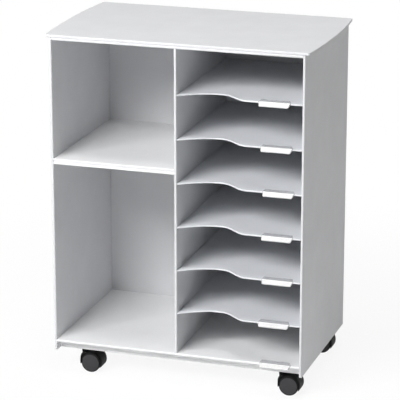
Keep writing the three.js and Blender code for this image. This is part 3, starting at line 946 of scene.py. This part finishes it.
@dataclass
class SortingShelf:
    """One thin shelf whose front edge sweeps back in a finger cut-out on the left."""

    wardrobe: Wardrobe
    node: str
    front_radius: float = 1.2 * MM
    edge_radius: float = 0.3 * MM
    cut_depth: float = 35.0 * MM
    rise_end_share: float = 0.3
    fall_start_share: float = 0.33
    cut_end_share: float = 0.56
    steps: int = 96

    def cut_shape(self, share: np.ndarray) -> np.ndarray:
        """How deep the cut-out is, as a share of its full depth.

        Args:
            share: Places along the shelf, 0 at its left end.

        Returns:
            A quarter sine up to the end of the rise, one on the level stretch, and then half a
            cosine wave down to zero.
        """
        rise = np.sin(math.pi / 2 * np.clip(share / self.rise_end_share, 0, 1))
        run = self.cut_end_share - self.fall_start_share
        fall = np.clip((share - self.fall_start_share) / run, 0, 1)
        return np.where(share < self.fall_start_share, rise, (1 + np.cos(math.pi * fall)) / 2)

    def build(self) -> None:
        """Builds, dresses and places the shelf."""
        low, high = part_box(self.node)
        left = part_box("centre_divider")[1].x
        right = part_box("right_side_panel")[0].x
        share = np.linspace(0, self.cut_end_share, self.steps + 1)
        front = low.y + self.cut_depth * self.cut_shape(share)
        wave = np.stack([left + share * (right - left), front], axis=1)
        rest = np.array([[right, low.y], [right, high.y], [left, high.y]])
        radius = [self.front_radius] * (len(wave) + 1) + [self.edge_radius] * 2
        outline = np.concatenate([wave, rest])
        piece = slab(f"{self.node}_sheet", outline, low.z, high.z, np.array(radius), steps=6)
        # The shelf takes the lighter copy of the sheet, which paints light onto the compartment floor.
        self.wardrobe.install(piece, THIN_SHELF_PAINTED_LIGHT, self.node, "carcass")


@dataclass
class LabelHolder:
    """A clear clip on a shelf's front edge, with the blank card in its pocket."""

    wardrobe: Wardrobe
    number: int
    sheet: str
    gap: float = 0.3 * MM
    wall: float = 0.9 * MM
    window: float = 0.8 * MM
    pocket: float = 1.0 * MM
    face_height: float = 11.0 * MM
    flap_depth: float = 16.0 * MM
    hook_depth: float = 7.0 * MM
    end_slant: float = 5.0 * MM
    end_power: int = 12
    soft: float = 0.25 * MM
    corner_share: float = 0.2
    corner_draw: float = 2.0 * MM
    corner_bluntness: float = 0.999
    card_corner: float = 0.4 * MM
    card_edge: float = 0.08 * MM

    def profile(self) -> np.ndarray:
        """The clip's section, seen from the right: flap above, hook below, pocket in front.

        Returns:
            An anticlockwise outline of (y, z) points with softened corners.
        """
        low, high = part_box(self.sheet)
        back = low.y - self.gap
        front = back - self.wall
        inner = front - self.pocket
        outer = inner - self.window
        flap = high.z + self.gap
        top = flap + self.wall
        hook = low.z - self.gap
        foot = top - self.face_height
        soft, tight = self.soft, self.soft / 3
        return rounded_outline(
            [
                (outer, foot, soft),
                (back, foot, soft),
                (back, hook - self.wall, soft / 2),
                (low.y + self.hook_depth, hook - self.wall, soft),
                (low.y + self.hook_depth, hook, soft),
                (back, hook, tight),
                (back, flap, tight),
                (low.y + self.flap_depth, flap, soft),
                (low.y + self.flap_depth, top, soft),
                (front, top, soft),
                (front, foot + self.wall, tight),
                (inner, foot + self.wall, tight),
                (inner, flap, soft),
                (outer, flap, soft),
            ],
            steps=4,
        )

    def clip(self, node: str) -> bpy.types.Object:
        """The clear clip.

        Args:
            node: The node that it replaces.

        Returns:
            The section carried from the left end to the right end. The right end is cut on a
            slant, so it draws in with the distance below the flap and behind the front wall.
        """
        low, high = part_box(node)
        piece = slab(f"{node}_clip", self.profile(), low.x, high.x, self.soft / 2, Axis.X, steps=3)
        points = points_of(piece.data).astype(float)
        sheet_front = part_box(self.sheet)[0].y
        down = np.clip((high.z - points[:, 2]) / self.face_height, 0, 1)
        behind = np.clip((points[:, 1] - sheet_front) / self.flap_depth, 0, 1)
        along = (points[:, 0] - low.x) / (high.x - low.x)
        corner = self.rounding(down) + self.rounding(behind)
        slant = self.end_slant * np.maximum(down, behind)
        points[:, 0] -= along**self.end_power * (slant + corner)
        points[:, 0] += (1 - along) ** self.end_power * corner
        move_points(piece.data, points)
        return piece

    def rounding(self, share: np.ndarray) -> np.ndarray:
        """How far an end draws in near the far edge of a face, to round its corner.

        Args:
            share: Distance over the face, 1 at its far edge.

        Returns:
            The corner's draw times one minus the root of one minus the square of the distance
            over its share, which stays a little short of one so that the end isn't pointed.
        """
        last = np.clip((share - 1 + self.corner_share) / self.corner_share, 0, 1)
        return self.corner_draw * (1 - np.sqrt(1 - last**2 * self.corner_bluntness))

    def card(self, node: str) -> bpy.types.Object:
        """The blank card in the clip's pocket.

        Args:
            node: The node that it replaces.

        Returns:
            A thin slab whose lower right corner follows the clip's slant.
        """
        low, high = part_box(node)
        slanted = high.x - self.end_slant
        places = [(low.z, low.x), (high.z, low.x), (high.z, high.x), (low.z, slanted)]
        outline = rounded_outline([(*place, self.card_corner) for place in places], steps=3)
        return slab(f"{node}_card", outline, low.y, high.y, self.card_edge, Axis.Y, steps=2)

    def build(self) -> None:
        """Builds, dresses and places the clip and its card."""
        body = f"label_slider_{self.number}"
        holder, card = f"label_holder_{self.number}", f"label_card_{self.number}"
        self.wardrobe.install(self.clip(holder), CLEAR_HOLDER, holder, body)
        self.wardrobe.install(self.card(card), WHITE_CARD, card, body)


@dataclass
class Hood:
    """The castors' moulded hood, built with the foot of its swivel axis at the origin."""

    wheel_radius: float = 20.0 * MM
    half_width: float = 19.0 * MM
    trail: float = 19.0 * MM
    clearance: float = 0.9 * MM
    fender_wall: float = 2.2 * MM
    fender_setback: float = 0.8 * MM
    fender_drop: float = 0.9 * MM
    fender_steps: int = 96
    cap_share: float = 0.7
    cap_radius: float = 5.0 * MM
    end_share: float = 0.08
    soft: float = 0.6 * MM
    rim_soft: float = 0.4 * MM
    shoulder_lead: float = 0.9 * MM
    shoulder_radius: float = 14.5 * MM
    web_start: float = 0.5 * MM
    web_half: float = 5.7 * MM
    boss_radius: float = 6.5 * MM
    trail_angle: float = math.radians(-25)
    lead_angle: float = math.radians(190)
    neck_rise: float = 0.9 * MM
    neck_radius: float = 5.5 * MM
    neck_core: float = 4.8 * MM
    neck_cone: float = 7.0 * MM
    neck_collar: float = 6.0 * MM
    neck_floor: float = 3.0 * MM
    bridge_half: float = 5.0 * MM
    bridge_soft: float = 0.3 * MM
    voxel: float = 0.45 * MM
    smoothing: float = 0.5
    smoothing_rounds: int = 4
    gap: float = 0.3 * MM
    axle_radius: float = 3.0 * MM
    stem_radius: float = 3.0 * MM
    stem_depth: float = 12.7 * MM
    overrun: float = 1.0 * MM

    @property
    def outer_radius(self) -> float:
        """Radius of the fender's outside."""
        return self.wheel_radius + self.clearance + self.fender_wall

    @property
    def crest(self) -> float:
        """Height of the fender's crest."""
        return self.wheel_radius + self.outer_radius

    @property
    def neck_top(self) -> float:
        """Height of the neck's top face."""
        return self.crest + self.neck_rise

    def reach(self, angle: np.ndarray) -> np.ndarray:
        """How far the hood's outside lies from the wheel axis.

        Args:
            angle: Angles about the wheel axis, 0 to the trailing side, a quarter turn upwards.

        Returns:
            The fender's radius up to the crest. Past it, the distance to the shoulder's outline:
            a level top, an arc about (x, z) whose ray length is the ray's share of the centre
            plus the root of that squared, less the centre's square, plus the arc's square, and
            an upright leading side.
        """
        cos, sin = np.cos(angle), np.sin(angle)
        lead = self.outer_radius + self.shoulder_lead
        x, z = self.shoulder_radius - lead, self.outer_radius - self.shoulder_radius
        along = cos * x + sin * z
        arc = along + np.sqrt(np.maximum(along**2 - x**2 - z**2 + self.shoulder_radius**2, 0))
        level = self.outer_radius / np.maximum(sin, TINY)
        upright = lead / np.maximum(-cos, TINY)
        shoulder = np.where(arc * cos > x, level, np.where(arc * sin < z, upright, arc))
        return np.where(angle > math.pi / 2, shoulder, self.outer_radius)

    def fender(self) -> bpy.types.Object:
        """The canopy over both wheels with its fuller shoulder, and the web between them.

        Returns:
            A T section in (radius, across) carried round the wheel axis from the trailing to
            the leading end. Its cap stretches out to the hood's reach and thins towards both
            ends of the sweep.
        """
        half = self.half_width - self.fender_setback
        inner = self.wheel_radius + self.clearance
        outer, low = self.outer_radius, self.outer_radius - self.fender_drop
        upper_half = [
            (outer, half * self.cap_share, self.cap_radius),
            (low, half, self.soft),
            (inner, half, self.rim_soft),
            (inner, self.web_half, self.soft),
            (self.web_start, self.web_half, 0.0),
        ]
        lower_half = [(radius, -across, soft) for radius, across, soft in upper_half[::-1]]
        section = rounded_outline(lower_half + upper_half, steps=5)
        turn = np.linspace(self.trail_angle, self.lead_angle, self.fender_steps + 1)[:, None]
        share = np.linspace(0, 1, self.fender_steps + 1)[:, None]
        ends = np.clip(np.minimum(share, 1 - share) / self.end_share, 0, 1)
        cap = np.clip((section[:, 0] - inner) / (outer - inner), 0, 1)
        drawn = self.reach(turn) - outer - (1 - np.sqrt(ends)) * self.fender_drop
        radius = section[:, 0] + cap * drawn
        across = np.broadcast_to(section[:, 1], radius.shape)
        sweep = [self.trail + radius * np.cos(turn), across, self.wheel_radius + radius * np.sin(turn)]
        faces = [face[::-1] for face in lidded_faces(len(turn), len(section))]
        return mesh_object("hood_fender", np.stack(sweep, axis=-1).reshape(-1, 3), faces)

    def neck(self) -> bpy.types.Object:
        """The round neck that swivels on the stem.

        Returns:
            A turned piece: straight foot, flaring cone and collar with a softened top edge.
        """
        waist = self.neck_top - self.neck_collar
        end = self.neck_top - self.stem_depth - self.neck_floor
        soft, fine = self.soft, self.soft / 3
        profile = np.array(
            [
                (0.0, end),
                (self.neck_core - soft, end),
                (self.neck_core, end + soft),
                (self.neck_core, waist - self.neck_cone),
                (self.neck_radius - fine, waist),
                (self.neck_radius, waist + soft + fine),
                (self.neck_radius, self.neck_top - soft),
                (self.neck_radius - fine, self.neck_top - fine),
                (self.neck_radius - soft, self.neck_top),
                (0.0, self.neck_top),
            ]
        )
        return turned("hood_neck", profile, (0, 0, 0), Axis.Z, steps=64)

    def bridge(self) -> bpy.types.Object:
        """The sloping back of the hood, from the neck to the fender's crest.

        Returns:
            A slab with a four-sided outline.
        """
        foot = self.neck_top - self.neck_collar - self.neck_cone
        places = [(foot, 0), (self.neck_top, 0), (self.crest, self.trail)]
        outline = np.array([*places, (self.crest - self.fender_wall, self.trail)])
        half = self.bridge_half
        return slab("hood_bridge", outline, -half, half, self.bridge_soft, Axis.Y, steps=2)

    def pin(self, name: str, radius: float, low: float, high: float, axis: Axis) -> bpy.types.Object:
        """A plain pin used to join or to cut the hood.

        Args:
            name: The object's name.
            radius: Its radius.
            low: Its lower end along the axis.
            high: Its upper end along the axis.
            axis: Its axis; a pin across lies on the wheel axis and an upright one on the stem's.

        Returns:
            The pin.
        """
        profile = np.array([(0.0, low), (radius, low), (radius, high), (0.0, high)])
        centre = (self.trail, 0, self.wheel_radius) if axis is Axis.Y else (0, 0, 0)
        return turned(name, profile, centre, axis, steps=48)

    def cutters(self) -> list[bpy.types.Object]:
        """The shapes that are cut out of the hood.

        Returns:
            The bore for the stem and the bore for the axle.
        """
        stem, axle = self.stem_radius + self.gap, self.axle_radius + self.gap
        low = self.neck_top - self.stem_depth - self.gap
        high, half = self.neck_top + self.overrun, self.half_width
        return [
            self.pin("stem_bore", stem, low, high, Axis.Z),
            self.pin("axle_bore", axle, -half, half, Axis.Y),
        ]

    def mesh(self) -> bpy.types.Mesh:
        """The moulded hood as one closed skin.

        Returns:
            The mesh of fender, neck, bridge and axle boss, joined, rounded where they meet and
            bored for the stem and the axle.
        """
        boss = self.pin("hood_boss", self.boss_radius, -self.web_half, self.web_half, Axis.Y)
        parts = [self.fender(), self.neck(), self.bridge(), boss]
        cutters = self.cutters()
        for used in [*parts, *cutters]:
            used.modifiers.clear()
        joined = parts[0]
        with bpy.context.temp_override(
            active_object=joined, object=joined, selected_editable_objects=parts
        ):
            bpy.ops.object.join()
        skin = joined.modifiers.new("skin", "REMESH")
        skin.mode = "VOXEL"
        skin.voxel_size = self.voxel
        soften = joined.modifiers.new("soften", "SMOOTH")
        soften.factor = self.smoothing
        soften.iterations = self.smoothing_rounds
        for cutter in cutters:
            bore = joined.modifiers.new(cutter.name, "BOOLEAN")
            bore.operation = "DIFFERENCE"
            bore.solver = "EXACT"
            bore.object = cutter
        bpy.context.view_layer.update()
        graph = bpy.context.evaluated_depsgraph_get()
        mesh = bpy.data.meshes.new_from_object(joined.evaluated_get(graph))
        for used in [joined, *cutters]:
            bpy.data.objects.remove(used)
        return mesh


@dataclass
class Castor:
    """A swivel castor's visible mouldings: the hood and the twin wheels."""

    wardrobe: Wardrobe
    name: str
    hood: Hood
    hood_mesh: bpy.types.Mesh
    hood_sharp: float = math.radians(60)
    tyre_round: float = 1.4 * MM
    lip_round: float = 1.0 * MM
    round_steps: int = 8
    crown: float = 0.5 * MM
    crown_steps: int = 11
    groove_radius: float = 17.4 * MM
    groove_width: float = 0.7 * MM
    groove_depth: float = 0.35 * MM
    groove_slope: float = 0.25
    face_wall: float = 3.0 * MM
    rim_wall: float = 3.0 * MM
    hub_radius: float = 6.0 * MM
    disc_share: float = 0.75

    def placed_hood(self) -> bpy.types.Object:
        """The castor's own copy of the hood.

        Returns:
            An object at the origin, whose mesh is moved to the castor's place.
        """
        name = f"{self.name}_moulded_hood"
        axle = middle_of(f"{self.name}_axle")
        copy = self.hood_mesh.copy()
        foot = np.array((axle.x - self.hood.trail, axle.y, 0.0), np.float32)
        move_points(copy, points_of(copy) + foot)
        copy.shade_smooth()
        copy.set_sharp_from_angle(angle=self.hood_sharp)
        copy.name = name
        return linked(name, copy)

    def wheel_profile(self) -> np.ndarray:
        """One wheel's section in (radius, distance from the castor's middle).

        Returns:
            From the bore's floor on the axis, round the hub, cup and rim, over the tread with
            its rounded shoulders, and across the crowned face with its fine ring groove.
        """
        rim, gap = self.hood.wheel_radius, self.hood.gap
        bore = self.hood.axle_radius + gap
        hub_end = self.hood.web_half + gap
        rim_end = hub_end + gap
        flat = self.hood.half_width - self.crown
        floor = flat - self.face_wall
        inner = rim - self.rim_wall
        arc = np.linspace(0, math.pi / 2, self.round_steps + 1)
        near, far = 1 - np.cos(arc), 1 - np.sin(arc)
        lip = np.stack([rim - self.lip_round * far, rim_end + self.lip_round * near], axis=1)
        tread = np.stack([rim - self.tyre_round * near, flat - self.tyre_round * far], axis=1)
        across = np.linspace(1, 0, self.crown_steps + 1)
        crowned = np.stack([self.groove_radius * across, flat + self.crown * (1 - across**2)], axis=1)
        edge, bottom = self.groove_radius, flat - self.groove_depth
        groove = [
            (edge + self.groove_width, flat),
            (edge + self.groove_width * (1 - self.groove_slope), bottom),
            (edge + self.groove_width * self.groove_slope, bottom),
        ]
        hollow = [
            (0.0, floor + gap),
            (bore, floor + gap),
            (bore, hub_end),
            (self.hub_radius, hub_end),
            (self.hub_radius, floor),
            (inner, floor),
            (inner, rim_end),
        ]
        return np.concatenate([hollow, lip, tread, groove, crowned])

    def wheel(self, side: str) -> bpy.types.Object:
        """One wheel, its closed face outwards.

        Args:
            side: "front" or "rear".

        Returns:
            The wheel. The front one is the rear one turned half round the upright axis.
        """
        name = f"{self.name}_{side}_twin_wheel"
        piece = turned(name, self.wheel_profile(), (0, 0, 0), Axis.Y, steps=96)
        points = points_of(piece.data)
        if side == "front":
            points = points * np.array([-1, -1, 1], np.float32)
        axle = np.array(middle_of(f"{self.name}_axle"), np.float32)
        move_points(piece.data, points + axle)
        return piece

    def on_disc(self, wheel: bpy.types.Object) -> np.ndarray:
        """Which faces of a wheel lie on its outer disc.

        Args:
            wheel: One of this castor's wheels.

        Returns:
            For each face, whether its middle lies within the ring groove's radius of the wheel
            axis and in the outer part of the castor's half width.
        """
        middles = np.empty(len(wheel.data.polygons) * 3, np.float32)
        wheel.data.polygons.foreach_get("center", middles)
        away = middles.reshape(-1, 3) - np.array(middle_of(f"{self.name}_axle"))
        within = np.hypot(away[:, 0], away[:, 2]) < self.groove_radius
        return within & (np.abs(away[:, 1]) > self.disc_share * self.hood.half_width)

    def build(self) -> None:
        """Builds, dresses and places the castor's pieces."""
        hood = self.placed_hood()
        self.wardrobe.install(hood, BLACK_MOULDING, f"{self.name}_hood", f"{self.name}_castor")
        for side in ("front", "rear"):
            wheel = self.wheel(side)
            node, body = f"{self.name}_wheel_{side}", f"{self.name}_{side}_roller"
            self.wardrobe.install(wheel, BLACK_TYRE, node, body)
            self.wardrobe.add(wheel, GREY_DISC, self.on_disc(wheel))


@dataclass
class SwivelMount:
    """What a castor turns and rolls on: its stem, the stem's socket in the tray, and its axle."""

    wardrobe: Wardrobe
    name: str
    lower_radius: float = 3.0 * MM
    upper_radius: float = 4.0 * MM
    collar_radius: float = 5.2 * MM
    collar_height: float = 1.4 * MM
    lower_length: float = 12.7 * MM
    chamfer: float = 0.8 * MM
    ring_depth: float = 0.6 * MM
    ring_height: float = 1.4 * MM
    gap: float = 0.3 * MM
    socket_wall: float = 1.9 * MM
    flange_height: float = 2.0 * MM
    flange_soft: float = 0.5 * MM
    flange_knee: float = 0.3
    soft: float = 0.25 * MM

    def upright(self, name: str, node: str, profile: list[Pair]) -> bpy.types.Object:
        """A piece turned about the upright axis through a node's middle."""
        at = middle_of(node)
        return turned(name, np.array(profile), (at.x, at.y, 0.0), Axis.Z)

    def stem(self, node: str) -> bpy.types.Object:
        """The steel stem: lower pin, collar, and upper pin with its snap groove.

        Args:
            node: The node that it replaces.

        Returns:
            A turned piece with chamfered ends and softened collar edges.
        """
        low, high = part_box(node)
        collar = low.z + self.lower_length
        shelf = collar + self.collar_height
        ring_top = high.z - 2 * self.ring_height
        ring_low = ring_top - self.ring_height
        waist = self.upper_radius - self.ring_depth
        profile = [
            (0.0, low.z),
            (self.lower_radius - self.chamfer, low.z),
            (self.lower_radius, low.z + self.chamfer),
            (self.lower_radius, collar),
            (self.collar_radius - self.soft, collar),
            (self.collar_radius, collar + self.soft),
            (self.collar_radius, shelf - self.soft),
            (self.collar_radius - self.soft, shelf),
            (self.upper_radius, shelf),
            (self.upper_radius, ring_low - self.soft),
            (waist, ring_low + self.soft),
            (waist, ring_top - self.soft),
            (self.upper_radius, ring_top + self.soft),
            (self.upper_radius, high.z - self.chamfer),
            (self.upper_radius - self.chamfer, high.z),
            (0.0, high.z),
        ]
        return self.upright(f"{node}_pin", node, profile)

    def socket(self, node: str) -> bpy.types.Object:
        """The moulded socket: a closed sleeve with a flange under the tray.

        Args:
            node: The node that it replaces.

        Returns:
            A turned piece with rounded flange edges.
        """
        low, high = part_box(node)
        bore = self.upper_radius + self.gap
        sleeve = bore + self.socket_wall
        rim = (high.x - low.x) / 2
        shelf = low.z + self.flange_height
        floor = high.z - self.socket_wall
        soft = self.flange_soft
        knee = self.flange_knee * soft
        profile = [
            (0.0, floor),
            (bore, floor),
            (bore, low.z + self.soft),
            (bore + self.soft, low.z),
            (rim - soft, low.z),
            (rim - knee, low.z + knee),
            (rim, low.z + soft),
            (rim, shelf - self.soft),
            (rim - self.soft, shelf),
            (sleeve, shelf),
            (sleeve, high.z - soft),
            (sleeve - soft, high.z),
            (0.0, high.z),
        ]
        return self.upright(f"{node}_sleeve", node, profile)

    def axle(self, node: str) -> bpy.types.Object:
        """The steel axle, a pin with chamfered ends and a fine groove in its middle.

        Args:
            node: The node that it replaces.

        Returns:
            The turned pin.
        """
        low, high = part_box(node)
        half = (high.y - low.y) / 2
        right_half = [
            (self.lower_radius - self.soft, self.soft),
            (self.lower_radius, 2 * self.soft),
            (self.lower_radius, half - self.chamfer),
            (self.lower_radius - self.chamfer, half),
            (0.0, half),
        ]
        left_half = [(radius, -across) for radius, across in right_half[::-1]]
        profile = np.array(left_half + right_half)
        return turned(f"{node}_pin", profile, tuple(middle_of(node)), Axis.Y, steps=48)

    def build(self) -> None:
        """Builds, dresses and places the three pieces."""
        pieces = {
            f"{self.name}_stem": (self.stem, PLATED_STEEL, "carcass"),
            f"{self.name}_socket": (self.socket, BLACK_MOULDING, "carcass"),
            f"{self.name}_axle": (self.axle, PLATED_STEEL, f"{self.name}_castor"),
        }
        for node, (make, finish, body) in pieces.items():
            self.wardrobe.install(make(node), finish, node, body)


@dataclass
class BaseTray:
    """The tray under the base with its four bosses, which keeps the frame's own shape."""

    wardrobe: Wardrobe
    tray: bpy.types.Object
    edge_width: float = 0.5 * MM
    edge_angle: float = math.radians(50)

    def build(self) -> None:
        """Dresses the tray in the lighter copy of the sheet, which paints light onto it, and softens
        its edges with a live bevel.
        """
        self.wardrobe.dress(self.tray, TRAY_SHEET_PAINTED_LIGHT)
        soften = self.tray.modifiers.new("soft_edges", "BEVEL")
        soften.width = self.edge_width
        soften.segments = 2
        soften.limit_method = "ANGLE"
        soften.angle_limit = self.edge_angle
        soften.harden_normals = True
        LOG.info("%s keeps its shape in %s", self.tray.name, TRAY_SHEET_PAINTED_LIGHT.name)


# Studio


@dataclass(frozen=True)
class Softbox:
    """A square soft lamp: its name, where it hangs, and its power in watts."""

    name: str
    place: Triple
    power: float


SOFTBOXES = (
    Softbox("key_softbox", (-0.67, -2.50, 2.23), 66.0),
    Softbox("left_softbox", (-2.48, -3.55, 2.85), 88.0),
    Softbox("high_softbox", (0.43, -0.75, 5.27), 64.0),
    Softbox("rear_softbox", (0.54, 3.07, 2.15), 22.0),
    Softbox("side_softbox", (3.09, -0.11, 1.18), 4.2),
)


def aimed(name: str, data: bpy.types.ID, place: Vector, toward: Vector) -> bpy.types.Object:
    """Stands a camera or a lamp at a place.

    Args:
        name: The object's name.
        data: The camera or lamp.
        place: Where it stands.
        toward: The direction that it faces.

    Returns:
        The object.
    """
    made = linked(name, data)
    made.location = place
    made.rotation_mode = "QUATERNION"
    made.rotation_quaternion = toward.to_track_quat("-Z", "Y")
    return made


@dataclass
class Studio:
    """Camera, pale floor and soft lamps."""

    azimuth: float = math.radians(17.94)
    elevation: float = math.radians(16.82)
    distance: float = 4.4658
    target: Triple = (-0.0016, -0.0014, 0.3441)
    focal_pixels: float = 2198.89
    frame_pixels: float = 400.0
    sensor: float = 36.0
    clip: Pair = (0.1, 50.0)
    lamp_aim: Triple = (0.0, 0.0, 0.35)
    lamp_size: float = 1.0
    dim_strength: float = 0.02
    floor_half: float = 6.0
    floor_grey: float = 0.96
    floor_roughness: float = 0.9
    shadow_reach: Pair = (0.35, 1.2)
    shadow_white: float = 0.9

    def camera(self) -> None:
        """Puts the camera where the picture was taken from."""
        data = bpy.data.cameras.new("camera")
        data.sensor_width = self.sensor
        data.lens = self.focal_pixels / self.frame_pixels * self.sensor
        data.clip_start, data.clip_end = self.clip
        level = math.cos(self.elevation)
        across, along = math.sin(self.azimuth) * level, -math.cos(self.azimuth) * level
        back = Vector((across, along, math.sin(self.elevation)))
        place = Vector(self.target) + back * self.distance
        bpy.context.scene.camera = aimed("camera", data, place, -back)

    def lamps(self) -> None:
        """Hangs the lamps: key in front, others left, high up, behind, and a weak one right."""
        for softbox in SOFTBOXES:
            data = bpy.data.lights.new(softbox.name, "AREA")
            data.shape = "RECTANGLE"
            data.size, data.size_y = self.lamp_size, self.lamp_size
            data.energy = softbox.power
            place = Vector(softbox.place)
            aimed(softbox.name, data, place, Vector(self.lamp_aim) - place)

    def world(self) -> None:
        """A white surround where it is seen, and a dim one for the light."""
        world = bpy.data.worlds.new("surround")
        world.use_nodes = True
        wires = Wiring(world.node_tree)
        dim = wires.tree.nodes["Background"]
        wires.fill(dim, {"Color": WHITE, "Strength": self.dim_strength})
        bright = wires.add("ShaderNodeBackground", {"Color": WHITE, "Strength": 1.0})
        shown = bright.outputs["Background"]
        wires.blend_shaders(wires.seen_rays(), dim.outputs["Background"], shown, "World Output")
        bpy.context.scene.world = world

    def floor(self) -> None:
        """A pale floor that takes the trolley's soft shadow and turns plain white further off."""
        half = self.floor_half
        points = np.array([(-half, -half, 0), (half, -half, 0), (half, half, 0), (-half, half, 0)])
        made = mesh_object("studio_floor", points, [[0, 1, 2, 3]])
        made.modifiers.clear()
        material = bpy.data.materials.new("pale_floor")
        material.use_nodes = True
        wires = Wiring(material.node_tree)
        shader = wires.tree.nodes["Principled BSDF"]
        grey = (*[self.floor_grey] * 3, 1.0)
        wires.fill(shader, {"Base Color": grey, "Roughness": self.floor_roughness})
        glow = wires.add("ShaderNodeEmission", {"Color": WHITE}).outputs["Emission"]
        place = wires.add("ShaderNodeTexCoord", {}).outputs["Object"]
        distance = wires.add("ShaderNodeVectorMath", {0: place}, operation="LENGTH").outputs["Value"]
        fade = wires.remap(distance, old=self.shadow_reach, new=(self.shadow_white, 1.0))
        share = wires.combine("MULTIPLY", wires.seen_rays(), fade)
        wires.blend_shaders(share, shader.outputs["BSDF"], glow, "Material Output")
        made.data.materials.append(material)

    def build(self) -> None:
        """Sets up the whole studio."""
        bpy.context.scene.view_settings.view_transform = "Standard"
        self.camera()
        self.lamps()
        self.world()
        self.floor()


def main() -> None:
    """Builds the trolley's looks round the frame, in order."""
    logging.basicConfig(level=logging.INFO, format="%(name)s: %(message)s")
    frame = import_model()
    wardrobe = Wardrobe()
    Carcass(wardrobe).build()
    shelves = [f"sorting_shelf_{i + 1}" for i in range(SHELF_COUNT)]
    for node in shelves:
        SortingShelf(wardrobe, node).build()
    for i, sheet in enumerate(["base_panel", *shelves]):
        LabelHolder(wardrobe, i + 1, sheet).build()
    BaseTray(wardrobe, frame["nodes"]["base_tray"]).build()
    hood = Hood()
    hood_mesh = hood.mesh()
    for name in CASTORS:
        Castor(wardrobe, name, hood, hood_mesh).build()
        SwivelMount(wardrobe, name).build()
    Studio().build()


if __name__ == "__main__":
    main()
